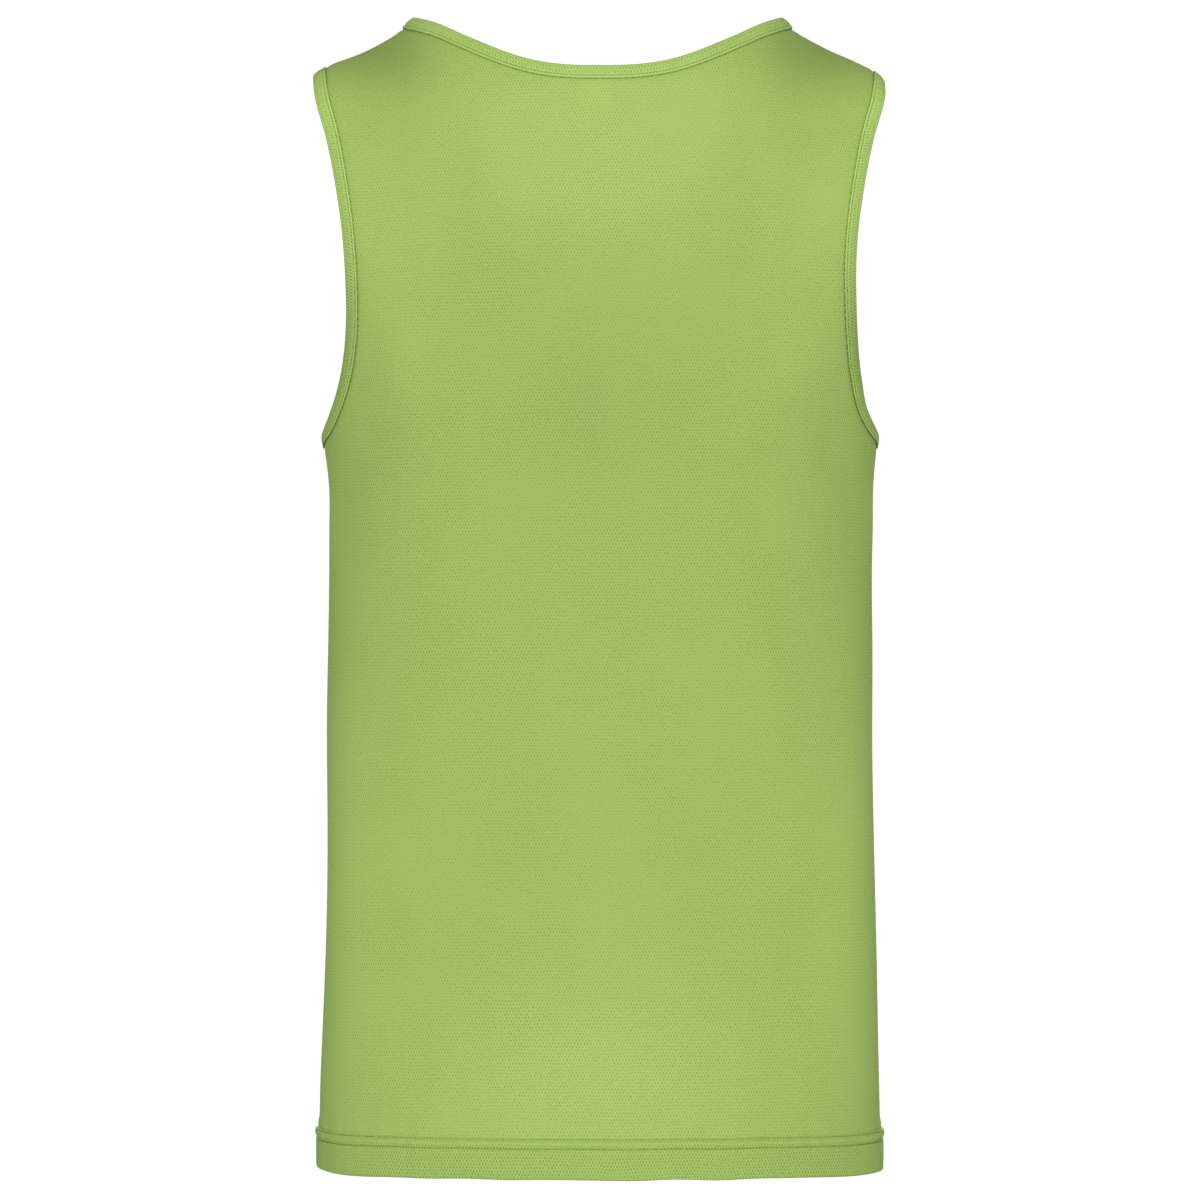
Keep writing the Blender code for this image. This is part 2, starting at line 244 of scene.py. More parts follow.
@dataclass(frozen=True)
class Spot:
    """A soft spot of the cloth: a fold, or a patch of painted light or shade that is lighter or darker.

    Attributes:
        side: The half of the garment.
        x: Its middle, towards +X.
        z: Its middle's height.
        across: Half its width.
        along: Half its length.
        amount: How far a fold stands out, or by which share a patch of painted light is lighter.
        slant: How far its length leans from upright towards +X, in degrees.
        twin: Whether the other half of the panel has its mirror image.
    """

    side: Side
    x: float
    z: float
    across: float
    along: float
    amount: float
    slant: float = 0.0
    twin: bool = False

    def at(self, x: np.ndarray, z: np.ndarray) -> np.ndarray:
        """How much of the spot there is at each place.

        Args:
            x: Places towards +X.
            z: Their heights.

        Returns:
            The amounts.
        """
        lean = math.radians(self.slant)
        total = np.zeros_like(x, dtype=float)
        for mirror in (1, -1) if self.twin and self.x else (1,):
            right, up = x * mirror - self.x, z - self.z
            length = (right * math.sin(lean) + up * math.cos(lean)) / self.along
            width = (right * math.cos(lean) - up * math.sin(lean)) / self.across
            total = total + self.amount * np.exp(-(length**2) - width**2)
        return total


@dataclass(frozen=True)
class Shift:
    """A place where the worn garment sits a little aside of its even form.

    Attributes:
        x: Its middle, towards +X.
        z: Its middle's height.
        across: Half its width.
        along: Half its length.
        sideways: How far the cloth is moved towards +X.
        upwards: How far it is moved up.
    """

    x: float
    z: float
    across: float
    along: float
    sideways: float = 0.0
    upwards: float = 0.0

    def near(self, x: np.ndarray, z: np.ndarray) -> np.ndarray:
        """The share of the shift that each place gets."""
        return np.exp(-(((x - self.x) / self.across) ** 2) - ((z - self.z) / self.along) ** 2)


SHIFTS = (
    Shift(x=-167.0, z=-12.0, across=11.0, along=22.0, upwards=2.2),
    Shift(x=-142.0, z=0.0, across=16.0, along=26.0, upwards=0.9),
    Shift(x=178.0, z=-14.0, across=5.5, along=9.0, sideways=-1.4, upwards=-2.4),
    Shift(x=121.0, z=14.0, across=13.0, along=24.0, sideways=-3.2),
    Shift(x=150.0, z=-172.0, across=22.0, along=34.0, sideways=1.5),
    Shift(x=168.0, z=-222.0, across=18.0, along=12.0, sideways=-1.4),
    Shift(x=170.0, z=-280.0, across=30.0, along=38.0, sideways=1.5),
    Shift(x=172.0, z=-370.0, across=30.0, along=50.0, sideways=0.7),
    Shift(x=172.0, z=-540.0, across=30.0, along=85.0, sideways=1.5),
    Shift(x=-155.0, z=-185.0, across=22.0, along=40.0, sideways=0.6),
    Shift(x=-168.0, z=-420.0, across=30.0, along=50.0, sideways=-1.0),
    Shift(x=-172.0, z=-640.0, across=30.0, along=50.0, sideways=-0.7),
    Shift(x=166.0, z=-700.0, across=42.0, along=40.0, upwards=-1.2),
    Shift(x=-168.0, z=-700.0, across=32.0, along=40.0, upwards=-0.9),
    Shift(x=-177.0, z=-669.0, across=8.0, along=11.0, upwards=2.2),
    Shift(x=178.0, z=-669.0, across=8.0, along=11.0, upwards=1.8),
    Shift(x=-176.0, z=-696.0, across=10.0, along=11.0, upwards=1.5),
    Shift(x=0.0, z=-700.0, across=90.0, along=40.0, upwards=0.5),
)

# The broad folds are in the solids too.
BROAD_FOLDS = (
    Spot(Side.BACK, x=122.0, z=-185.0, across=30.0, along=42.0, amount=3.0, twin=True),
    Spot(Side.BACK, x=124.0, z=-105.0, across=18.0, along=75.0, amount=2.0, twin=True),
    Spot(Side.BACK, x=150.0, z=-222.0, across=20.0, along=32.0, amount=-2.0, twin=True),
    Spot(Side.BACK, x=0.0, z=-235.0, across=55.0, along=110.0, amount=-3.5),
    Spot(Side.BACK, x=0.0, z=-610.0, across=70.0, along=60.0, amount=2.5),
    Spot(Side.FRONT, x=75.0, z=-190.0, across=45.0, along=70.0, amount=2.5, twin=True),
    Spot(Side.FRONT, x=0.0, z=-420.0, across=80.0, along=100.0, amount=-2.0),
)
FOLD_FADE = 20.0  # how far from the seams the folds have half their depth

FINE_FOLDS = (
    Spot(Side.BACK, x=152.0, z=-30.0, across=3.5, along=11.0, amount=0.5, slant=-48.0),
    Spot(Side.BACK, x=108.0, z=-112.0, across=7.0, along=52.0, amount=0.9, slant=4.0, twin=True),
    Spot(Side.BACK, x=92.0, z=-70.0, across=6.0, along=40.0, amount=-0.6, slant=10.0, twin=True),
    Spot(Side.BACK, x=150.0, z=-262.0, across=11.0, along=34.0, amount=-1.4, slant=-28.0, twin=True),
    Spot(Side.BACK, x=128.0, z=-300.0, across=12.0, along=42.0, amount=0.9, slant=-30.0, twin=True),
    Spot(Side.BACK, x=54.0, z=-470.0, across=10.0, along=26.0, amount=-0.9, slant=35.0, twin=True),
    Spot(Side.BACK, x=28.0, z=-560.0, across=14.0, along=70.0, amount=-0.7, slant=6.0, twin=True),
    Spot(Side.BACK, x=112.0, z=-520.0, across=16.0, along=60.0, amount=0.8, slant=12.0, twin=True),
    Spot(Side.BACK, x=-10.0, z=-676.0, across=22.0, along=7.0, amount=-0.7),
    Spot(Side.BACK, x=86.0, z=-655.0, across=8.0, along=16.0, amount=0.5, slant=20.0),
    Spot(Side.BACK, x=-118.0, z=-652.0, across=9.0, along=18.0, amount=0.5, slant=-24.0),
    Spot(Side.FRONT, x=108.0, z=-125.0, across=8.0, along=48.0, amount=1.2, slant=6.0, twin=True),
    Spot(Side.FRONT, x=96.0, z=-62.0, across=7.0, along=30.0, amount=-0.7, slant=14.0, twin=True),
    Spot(Side.FRONT, x=146.0, z=-268.0, across=12.0, along=40.0, amount=-1.8, slant=-30.0, twin=True),
    Spot(Side.FRONT, x=-126.0, z=-306.0, across=13.0, along=44.0, amount=1.3, slant=26.0),
    Spot(Side.FRONT, x=124.0, z=-318.0, across=15.0, along=52.0, amount=1.0, slant=-32.0),
    Spot(Side.FRONT, x=60.0, z=-330.0, across=16.0, along=60.0, amount=1.0, slant=-18.0, twin=True),
    Spot(Side.FRONT, x=-48.0, z=-520.0, across=12.0, along=74.0, amount=-1.4, slant=8.0),
    Spot(Side.FRONT, x=70.0, z=-560.0, across=14.0, along=66.0, amount=-1.3, slant=-10.0),
    Spot(Side.FRONT, x=10.0, z=-600.0, across=20.0, along=56.0, amount=1.2, slant=4.0),
    Spot(Side.FRONT, x=-118.0, z=-560.0, across=18.0, along=80.0, amount=1.3, slant=5.0),
    Spot(Side.FRONT, x=128.0, z=-500.0, across=15.0, along=90.0, amount=-1.2, slant=-4.0),
    Spot(Side.FRONT, x=24.0, z=-674.0, across=20.0, along=7.0, amount=-0.6),
)

# Painted light and shade: patches of the knit's colour made lighter or darker for how the light falls on the
# worn form, such as the painted shade on the shoulders' tops.
PAINTED_TONES = (
    Spot(Side.BACK, x=166.0, z=-42.0, across=12.0, along=28.0, amount=0.06, twin=True),
    Spot(Side.BACK, x=0.0, z=-45.0, across=95.0, along=68.0, amount=0.13),
    Spot(Side.BACK, x=70.0, z=-28.0, across=30.0, along=30.0, amount=0.03, twin=True),
    Spot(Side.BACK, x=146.0, z=-108.0, across=34.0, along=74.0, amount=0.16, twin=True),
    Spot(Side.BACK, x=135.0, z=-4.0, across=31.0, along=20.0, amount=-0.22, twin=True),
    Spot(Side.BACK, x=161.0, z=-192.0, across=7.0, along=40.0, amount=-0.2, slant=-12.0, twin=True),
    Spot(Side.BACK, x=168.0, z=-285.0, across=10.0, along=36.0, amount=0.1, twin=True),
    Spot(Side.BACK, x=0.0, z=-96.0, across=55.0, along=22.0, amount=0.03),
    Spot(Side.BACK, x=0.0, z=-215.0, across=80.0, along=84.0, amount=-0.065),
    Spot(Side.BACK, x=115.0, z=-190.0, across=14.0, along=26.0, amount=0.04, twin=True),
    Spot(Side.BACK, x=116.0, z=-500.0, across=16.0, along=36.0, amount=0.03, twin=True),
    Spot(Side.BACK, x=54.0, z=-492.0, across=20.0, along=30.0, amount=-0.04, twin=True),
    Spot(Side.BACK, x=156.0, z=-520.0, across=26.0, along=125.0, amount=0.15, twin=True),
    Spot(Side.BACK, x=0.0, z=-632.0, across=130.0, along=62.0, amount=0.11),
    Spot(Side.FRONT, x=0.0, z=-120.0, across=80.0, along=70.0, amount=0.06),
    Spot(Side.FRONT, x=140.0, z=-108.0, across=34.0, along=74.0, amount=0.1, twin=True),
    Spot(Side.FRONT, x=135.0, z=-4.0, across=31.0, along=20.0, amount=-0.22, twin=True),
    Spot(Side.FRONT, x=0.0, z=-330.0, across=70.0, along=90.0, amount=-0.04),
    Spot(Side.FRONT, x=156.0, z=-520.0, across=26.0, along=125.0, amount=0.1, twin=True),
    Spot(Side.FRONT, x=0.0, z=-650.0, across=130.0, along=62.0, amount=0.05),
)

# Painted light and shade on the folded strips: painted shade along the armholes, and painted highlights at
# their lower ends and on the shoulders.
PAINTED_STRIP_TONES = (
    Spot(Side.BACK, x=172.0, z=-26.0, across=14.0, along=24.0, amount=0.12, twin=True),
    Spot(Side.BACK, x=110.0, z=16.0, across=24.0, along=20.0, amount=0.13, twin=True),
    Spot(Side.BACK, x=160.0, z=-158.0, across=24.0, along=74.0, amount=-0.13, twin=True),
    Spot(Side.BACK, x=168.0, z=-247.0, across=6.0, along=6.0, amount=0.4, twin=True),
    Spot(Side.FRONT, x=160.0, z=-158.0, across=24.0, along=74.0, amount=-0.1, twin=True),
    Spot(Side.FRONT, x=168.0, z=-247.0, across=6.0, along=6.0, amount=0.4, twin=True),
)


@dataclass(frozen=True)
class BoundEdge:
    """The lines of a bound edge, as places.

    Attributes:
        finished: The folded edge of the binding.
        raw: The panel's cut edge inside the binding.
        border: The inner border of the binding.
    """

    finished: np.ndarray
    raw: np.ndarray
    border: np.ndarray


@dataclass(frozen=True)
class PanelForm:
    """The smooth form of one panel, and where its armhole and neckline run.

    Attributes:
        side: The half of the garment.
        arch_power: 2 is an elliptical shoulder, more is flatter with a tighter roll.
        arm_turn: The turn of the armhole at the shoulder seam.
        arm_scoop: Extra turn cut away at mid-height.
        arm_power: 2 is an elliptical lower armhole, more is squarer.
        neck_level: The level of the neckline at the centre.
        neck_turn: The turn of the neckline at the shoulder seam.
        neck_power: 2 is an elliptical neckline, more is squarer.
    """

    side: Side
    arch_power: float
    arm_turn: float
    arm_scoop: float
    arm_power: float
    neck_level: float
    neck_turn: float
    neck_power: float

    def bare_points(self, places: np.ndarray, half: int = 1) -> np.ndarray:
        """The middle of the cloth with only its broad folds and shifts.

        Args:
            places: Places.
            half: 1 on the half towards +X, -1 on the other.

        Returns:
            Points in millimetres.
        """
        turn, level = places[..., 0], places[..., 1]
        depth_name = "back_depth" if self.side is Side.BACK else "front_depth"
        heights = [section.height for section in SECTIONS]
        half_width = Curve(heights, [section.half_width for section in SECTIONS])
        depth_at = Curve(heights, [getattr(section, depth_name) for section in SECTIONS])
        ridge = Curve([p.from_centre for p in SHOULDER_LINE], [p.height for p in SHOULDER_LINE])
        rise = np.sin(math.pi / 2 * np.maximum(level, 0.0) / SHOULDER_LEVEL)
        lean = np.sqrt(np.maximum(1 - rise**self.arch_power, 0.0))
        height = UNDERARM_HEIGHT + np.minimum(level, 0.0) + (SHOULDER_TIP_HEIGHT - UNDERARM_HEIGHT) * rise
        x = half_width(height) * np.abs(np.cos(np.radians(turn))) ** (2 / SECTION_POWER)
        depth = depth_at(height) * np.sin(np.radians(turn)) ** (2 / SECTION_POWER) * lean
        height = np.where(level > 0, UNDERARM_HEIGHT + (ridge(x) - UNDERARM_HEIGHT) * rise, height)
        folds = sum(fold.at(x, height) for fold in BROAD_FOLDS if fold.side is self.side)
        depth = depth + folds * depth / (depth + FOLD_FADE)
        x = x * half
        shares = [shift.near(x, height) for shift in SHIFTS]
        x = x + sum(shift.sideways * share for shift, share in zip(SHIFTS, shares))
        height = height + sum(shift.upwards * share for shift, share in zip(SHIFTS, shares))
        return np.stack((x, self.side.value * depth, height), axis=-1)

    def slopes(self, places: np.ndarray, half: int = 1) -> tuple[np.ndarray, np.ndarray]:
        """How the point moves per degree of turn and per unit of level.

        Args:
            places: Places.
            half: 1 on the half towards +X, -1 on the other.

        Returns:
            The two arrays of steps.
        """
        turn_step = np.where(places[..., :1] < CENTRE_TURN - 1, 0.05, -0.05)
        level_step = -0.1
        here = self.bare_points(places, half)
        across = (self.bare_points(places + turn_step * (1, 0), half) - here) / turn_step
        up = (self.bare_points(places + (0, level_step), half) - here) / level_step
        return across, up

    def normals(self, places: np.ndarray, half: int = 1) -> np.ndarray:
        """The outward directions of the cloth, which lie in a seam's plane on that seam.

        Args:
            places: Places.
            half: 1 on the half towards +X, -1 on the other.

        Returns:
            Unit vectors.
        """
        turn, level = places[..., 0], places[..., 1]
        across, up = self.slopes(places, half)
        normal = np.cross(across, up) * self.side.value * half
        sewn = (np.abs(turn) < ON_SEAM) | (level > SHOULDER_LEVEL - ON_SEAM)
        normal[..., 1] = np.where(sewn, 0.0, normal[..., 1])
        normal[..., 0] = np.where(turn > CENTRE_TURN - ON_SEAM, 0.0, normal[..., 0])
        return unit(normal)

    def beside(self, places: np.ndarray, along: np.ndarray, distance: float | np.ndarray) -> np.ndarray:
        """Places at a distance to the left of a curve, measured on the cloth.

        Args:
            places: The curve's places.
            along: Its direction at each.
            distance: How far to the left, in millimetres.

        Returns:
            The moved places.
        """
        across, up = self.slopes(places)
        aa, au, uu = ((a * b).sum(axis=1) for a, b in ((across, across), (across, up), (up, up)))
        turn, level = along.T
        square = places_at(-(au * turn + uu * level), aa * turn + au * level)
        size = aa * square[:, 0] ** 2 + 2 * au * square[:, 0] * square[:, 1] + uu * square[:, 1] ** 2
        return places + square * (distance / np.sqrt(size))[:, None]

    def armhole(self, share: np.ndarray) -> np.ndarray:
        """The armhole's finished edge, from the underarm (share 0) to the shoulder (share 1).

        Args:
            share: Shares of the way up.

        Returns:
            Places.
        """
        reach = np.sqrt(np.maximum(1 - (1 - share) ** self.arm_power, 0.0))
        turn = self.arm_turn * reach + self.arm_scoop * np.sin(math.pi * share) ** 2
        return places_at(turn, SHOULDER_LEVEL * share)

    def neckline(self, share: np.ndarray) -> np.ndarray:
        """The neckline's finished edge, from the centre (share 0) to the shoulder (share 1).

        Args:
            share: Shares of the way up.

        Returns:
            Places.
        """
        reach = np.sqrt(np.maximum(1 - (1 - share) ** self.neck_power, 0.0))
        turn = CENTRE_TURN - (CENTRE_TURN - self.neck_turn) * reach
        return places_at(turn, self.neck_level + (SHOULDER_LEVEL - self.neck_level) * share)

    def evenly(self, places: np.ndarray, count: int) -> np.ndarray:
        """Spreads places evenly over a curve.

        Args:
            places: Close places along the curve.
            count: The number of equal steps wanted.

        Returns:
            count + 1 places.
        """
        travelled = travelled_along(self.bare_points(places))
        wanted = np.linspace(0, travelled[-1], count + 1)
        return np.stack([np.interp(wanted, travelled, column) for column in places.T], axis=1)

    def bound_edge(self, line: np.ndarray, count: int, cloth_side: int, fold: "BindingFold") -> BoundEdge:
        """The three lines of a bound edge.

        Args:
            line: Close places along the finished edge, from the underarm or centre to the shoulder.
            count: The number of equal steps wanted.
            cloth_side: 1 if the cloth lies left of the line, -1 if right.
            fold: The binding's sizes.

        Returns:
            The edge.
        """
        finished = self.evenly(line, count)
        along = np.gradient(finished, axis=0)
        along[0] = (-cloth_side, 0)
        along[-1] = (0, 1)
        distances = (fold.raw_from_edge, fold.width_at(finished[:, 1]))
        lines = [self.beside(finished, along, cloth_side * far) for far in distances]
        for moved in lines:
            moved[0, 0] = finished[0, 0]
            moved[-1, 1] = SHOULDER_LEVEL
        return BoundEdge(finished, *lines)


@dataclass(frozen=True)
class BindingFold:
    """A strip of knit folded round a cut edge and stitched through.

    Attributes:
        width: From the folded edge to the border.
        eased: How much wider it is just above the underarm, where it is eased round the curve.
        leaf: The strip's thickness.
        slack: The air between the strip and the cloth in it.
        stitch_from_border: The distance from the border to the stitching.
        rolled: Distances from the border towards the fold, where the strip's height is given.
        height: How far the strip stands above lying flat there: a rolled lip, the groove of the stitching,
            and the puffed side of the fold.
    """

    width: float = 9.0
    eased: float = 0.0
    leaf: float = 0.7
    slack: float = 0.12
    stitch_from_border: float = 1.8
    rolled: tuple[float, ...] = (
        0.0, 0.22, 0.52, 0.9, 1.28, 1.58, 1.8, 2.04, 2.5, 3.4, 4.7, 6.1, 7.2, 7.78,
    )
    height: tuple[float, ...] = (
        -0.3, 0.1, 0.34, 0.4, 0.24, -0.1, -0.3, -0.12, 0.16, 0.3, 0.34, 0.26, 0.1, 0.0,
    )

    @property
    def middle(self) -> float:
        """How far the middle of a flat leaf lies from the middle of the cloth."""
        return CLOTH / 2 + self.slack + self.leaf / 2

    @property
    def raw_from_edge(self) -> float:
        """How far inside the folded edge the cloth's cut edge lies."""
        return self.middle + self.leaf / 2

    @property
    def room(self) -> float:
        """How far the border lies from the cloth's cut edge."""
        return self.width - self.raw_from_edge

    @property
    def stitch_run(self) -> float:
        """How far the stitching lies from the border along the strip's own uneven face."""
        over = [far for far in self.rolled if far <= self.stitch_from_border]
        return float(travelled_along(np.stack((over, self.height[: len(over)]), axis=1))[-1])

    def width_at(self, level: np.ndarray) -> np.ndarray:
        """The width at each level."""
        risen = 1 - hump(level, middle=0.0, spread=9.0)
        return self.width + self.eased * hump(level, middle=32.0, spread=46.0) * risen

    def lift(self, over_border: float) -> float:
        """How far the middle of a leaf lies from the middle of the cloth, at a distance from the border."""
        return self.middle + float(Curve(self.rolled, self.height)(np.array(over_border)))


NECK_BINDING = BindingFold()
ARMHOLE_BINDING = BindingFold(
    eased=1.4,
    stitch_from_border=1.6,
    rolled=(0.0, 0.2, 0.45, 0.8, 1.1, 1.35, 1.6, 1.85, 2.3, 3.3, 4.6, 6.1, 7.2, 7.78),
    height=(-0.3, 0.0, 0.12, 0.15, 0.06, -0.12, -0.3, -0.12, 0.16, 0.3, 0.34, 0.26, 0.1, 0.0),
)


@dataclass(frozen=True)
class HemRing:
    """How far the middles of the hem's two layers lie outside the form, at one height over its fold."""

    over_fold: float
    outer: float
    turned: float


@dataclass(frozen=True)
class TurnedHem:
    """A hem turned up inside and sewn with two rows of stitches.

    Attributes:
        radius: Of the fold, to the middle of the cloth.
        turn_up: The height of the turned layer.
        foot: The height over the fold where the cloth is back on its form.
        rows: The heights over the fold of the two rows of stitches.
        rings: The layers' places, rising from the fold.
    """

    radius: float = 0.75
    turn_up: float = 25.2
    foot: float = 34.0
    rows: tuple[float, float] = (18.3, 24.2)
    rings: tuple[HemRing, ...] = (
        HemRing(over_fold=0.75, outer=1.9, turned=0.4),
        HemRing(over_fold=4.0, outer=2.05, turned=0.4),
        HemRing(over_fold=10.0, outer=2.15, turned=0.35),
        HemRing(over_fold=14.5, outer=2.2, turned=0.3),
        HemRing(over_fold=16.6, outer=2.15, turned=0.2),
        HemRing(over_fold=17.6, outer=1.95, turned=0.0),
        HemRing(over_fold=18.3, outer=0.85, turned=-0.3),
        HemRing(over_fold=19.0, outer=1.95, turned=0.0),
        HemRing(over_fold=20.0, outer=2.5, turned=0.2),
        HemRing(over_fold=21.3, outer=2.8, turned=0.3),
        HemRing(over_fold=22.6, outer=2.35, turned=0.1),
        HemRing(over_fold=23.4, outer=1.45, turned=-0.2),
        HemRing(over_fold=24.2, outer=0.3, turned=-0.6),
        HemRing(over_fold=25.0, outer=0.7, turned=-0.7),
        HemRing(over_fold=26.2, outer=0.85, turned=-0.8),
        HemRing(over_fold=28.5, outer=0.55, turned=-0.8),
        HemRing(over_fold=31.0, outer=0.2, turned=-0.8),
        HemRing(over_fold=34.0, outer=0.0, turned=-0.8),
    )

    def levels(self) -> np.ndarray:
        """The levels of the hem's mesh rows, from the turned layer's edge, round the fold, up to the foot.

        Returns:
            Levels, where the cloth's length runs on below the fold.
        """
        turned = self.radius * (1 - math.pi)
        spans = (  # heights over the fold, and the steps between them, which are fine at the stitches
            (turned - (self.turn_up - self.radius), turned, 18),
            (turned, self.radius, 6),
            (self.radius, 16.0, 16),
            (16.0, 27.0, 22),
            (27.0, self.foot, 7),
        )
        rows = [np.linspace(start, end, steps + 1)[1:] for start, end, steps in spans]
        return HEM_LEVEL + np.concatenate(((spans[0][0],), *rows))

    def lie(self, level: np.ndarray) -> tuple[np.ndarray, np.ndarray]:
        """Folds the cloth's length into the hem.

        Args:
            level: Levels, which may run on below the fold.

        Returns:
            The levels on the form, and how far the cloth's middle lies outside it there.
        """
        heights = [ring.over_fold for ring in self.rings]
        outer = Curve(heights, [ring.outer for ring in self.rings])
        turned = Curve(heights, [ring.turned for ring in self.rings])
        past = HEM_LEVEL + self.radius - level
        angle = np.clip(past / self.radius, 0, math.pi)
        over_fold = np.where(past <= 0, level - HEM_LEVEL, self.radius * (1 - np.sin(angle)))
        over_fold = np.where(angle >= math.pi, self.radius + past - math.pi * self.radius, over_fold)
        middle = (self.rings[0].outer + self.rings[0].turned) / 2
        ring = np.minimum(over_fold, self.foot)
        offset = np.where(past <= 0, outer(ring), middle + self.radius * np.cos(angle))
        offset = np.where(angle >= math.pi, turned(ring), offset)
        return HEM_LEVEL + over_fold, offset


HEM = TurnedHem()


def filled(bottom: np.ndarray, top: np.ndarray, left: np.ndarray, right: np.ndarray) -> np.ndarray:
    """Fills the four lines round a patch with a grid of places.

    Args:
        bottom: Its lower line, from left to right.
        top: Its upper line.
        left: Its left line, from below.
        right: Its right line.

    Returns:
        The places as [row, column].
    """
    v = np.linspace(0, 1, len(left))[:, None, None]
    u = np.linspace(0, 1, len(bottom))[None, :, None]
    corners = (1 - u) * ((1 - v) * bottom[0] + v * top[0]) + u * ((1 - v) * bottom[-1] + v * top[-1])
    between_rows = (1 - v) * bottom[None] + v * top[None]
    between_columns = (1 - u) * left[:, None] + u * right[:, None]
    return between_rows + between_columns - corners


def add_grid(form: bmesh.types.BMesh, points: np.ndarray, uv: np.ndarray) -> None:
    """Adds a grid of cloth to a mesh.

    Args:
        form: The mesh, which has a UV layer.
        points: Where its vertices lie, as [row, column], in millimetres.
        uv: Their places on the flat cloth, in millimetres.
    """
    rows, columns = points.shape[:2]
    layer = form.loops.layers.uv[UV_NAME]
    made = bmesh.ops.create_grid(form, x_segments=columns - 1, y_segments=rows - 1, size=1.0)
    for vertex in made["verts"]:
        column = round((vertex.co.x + 1) / 2 * (columns - 1))
        row = round((vertex.co.y + 1) / 2 * (rows - 1))
        vertex.co = points[row, column] * MM
        for loop in vertex.link_loops:
            loop[layer].uv = uv[row, column] * MM


def new_form() -> bmesh.types.BMesh:
    """An empty mesh with the cloth's UV layer."""
    form = bmesh.new()
    form.loops.layers.uv.new(UV_NAME)
    return form


def as_mesh(form: bmesh.types.BMesh, name: str) -> bpy.types.Mesh:
    """Joins a form's vertices where they meet, turns it into a mesh, and frees it.

    Args:
        form: The form.
        name: The mesh's name.

    Returns:
        The mesh.
    """
    bmesh.ops.remove_doubles(form, verts=form.verts, dist=MEETING)
    mesh = bpy.data.meshes.new(name)
    form.to_mesh(mesh)
    form.free()
    return mesh


def add_piece(name: str, mesh: bpy.types.Mesh, material: bpy.types.Material) -> bpy.types.Object:
    """Puts a finished mesh into the scene as a piece of the garment.

    Args:
        name: The piece's name.
        mesh: Its mesh.
        material: Its finish.

    Returns:
        The object.
    """
    mesh.shade_smooth()
    mesh.materials.append(material)
    piece = bpy.data.objects.new(name, mesh)
    bpy.context.scene.collection.objects.link(piece)
    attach(piece, BODY)
    return piece


def paint_light_and_shade(mesh: bpy.types.Mesh, spots: Sequence[Spot]) -> None:
    """Writes the painted light and shade, how much lighter or darker the knit's colour is made, at each
    vertex of a piece.

    Args:
        mesh: The piece's mesh.
        spots: Its patches of painted light and shade.
    """
    x, y, z = (np.array([vertex.co for vertex in mesh.vertices]) / MM).T
    painted_tone = sum(spot.at(x, z) * (y * spot.side.value > 0) for spot in spots)
    mesh.attributes.new(PAINTED_TONE_NAME, "FLOAT", "POINT").data.foreach_set("value", painted_tone.astype(np.float32))


def thicken(piece: bpy.types.Object, thickness: float) -> None:
    """Gives a sheet its thickness, half to each side, in millimetres."""
    wall = piece.modifiers.new("thickness", "SOLIDIFY")
    wall.thickness = thickness * MM
    wall.offset = 0.0
    wall.use_even_offset = False


def feed(tree: bpy.types.NodeTree, node: bpy.types.Node, inputs: dict[str | int, Any]) -> None:
    """Sets and links a node's inputs.

    Args:
        tree: The material's nodes.
        node: The node.
        inputs: For each input, a value, the output that feeds it, or the node whose first output does.
    """
    for socket, source in inputs.items():
        if isinstance(source, bpy.types.Node):
            source = source.outputs[0]
        if isinstance(source, bpy.types.NodeSocket):
            tree.links.new(source, node.inputs[socket])
        else:
            node.inputs[socket].default_value = source


def add_node(
    tree: bpy.types.NodeTree, kind: str, inputs: dict[str | int, Any], **settings: Any
) -> bpy.types.Node:
    """Adds a node to a material.

    Args:
        tree: The material's nodes.
        kind: The node's type, without its first word, ShaderNode.
        inputs: What its inputs are set to or fed by.
        **settings: The node's own settings.

    Returns:
        The node.
    """
    node = tree.nodes.new(f"ShaderNode{kind}")
    for setting, value in settings.items():
        setattr(node, setting, value)
    feed(tree, node, inputs)
    return node


def new_finish(name: str) -> tuple[bpy.types.Material, bpy.types.NodeTree, bpy.types.Node]:
    """Starts a material.

    Args:
        name: Its name.

    Returns:
        The material, its nodes and its shader.
    """
    material = bpy.data.materials.new(name)
    material.use_nodes = True
    return material, material.node_tree, material.node_tree.nodes["Principled BSDF"]


def add_band(tree: bpy.types.NodeTree, place: Any, middle: float, half: float, soft: float) -> bpy.types.Node:
    """Adds a soft-edged band to a material.

    Args:
        tree: The material's nodes.
        place: The coordinate that it is measured along, in metres.
        middle: Its middle, in millimetres.
        half: Half its width.
        soft: How wide its soft edge is.

    Returns:
        A node that gives 1 within the band and 0 outside it.
    """
    off_middle = add_node(tree, "Math", {0: place, 1: middle * MM}, operation="SUBTRACT")
    inputs = {
        "Value": add_node(tree, "Math", {0: off_middle}, operation="ABSOLUTE"),
        "From Min": (half + soft / 2) * MM,
        "From Max": max(half - soft / 2, 0.0) * MM,
    }
    return add_node(tree, "MapRange", inputs, interpolation_type="SMOOTHSTEP")


def add_patches(
    tree: bpy.types.NodeTree,
    place: Any,
    per_metre: float,
    detail: float,
    noise: tuple[float, float],
    strength: tuple[float, float],
) -> bpy.types.Node:
    """Adds uneven patches to a material.

    Args:
        tree: The material's nodes.
        place: The coordinates that they follow, in metres.
        per_metre: How many of them lie in a metre.
        detail: How many finer layers of them there are.
        noise: The values of the noise where they are weakest and strongest.
        strength: The least and the greatest strength.

    Returns:
        A node that gives their strength.
    """
    patches = add_node(tree, "TexNoise", {"Vector": place, "Scale": per_metre, "Detail": detail})
    ends = dict(zip(("From Min", "From Max", "To Min", "To Max"), noise + strength))
    return add_node(tree, "MapRange", {"Value": patches, **ends})


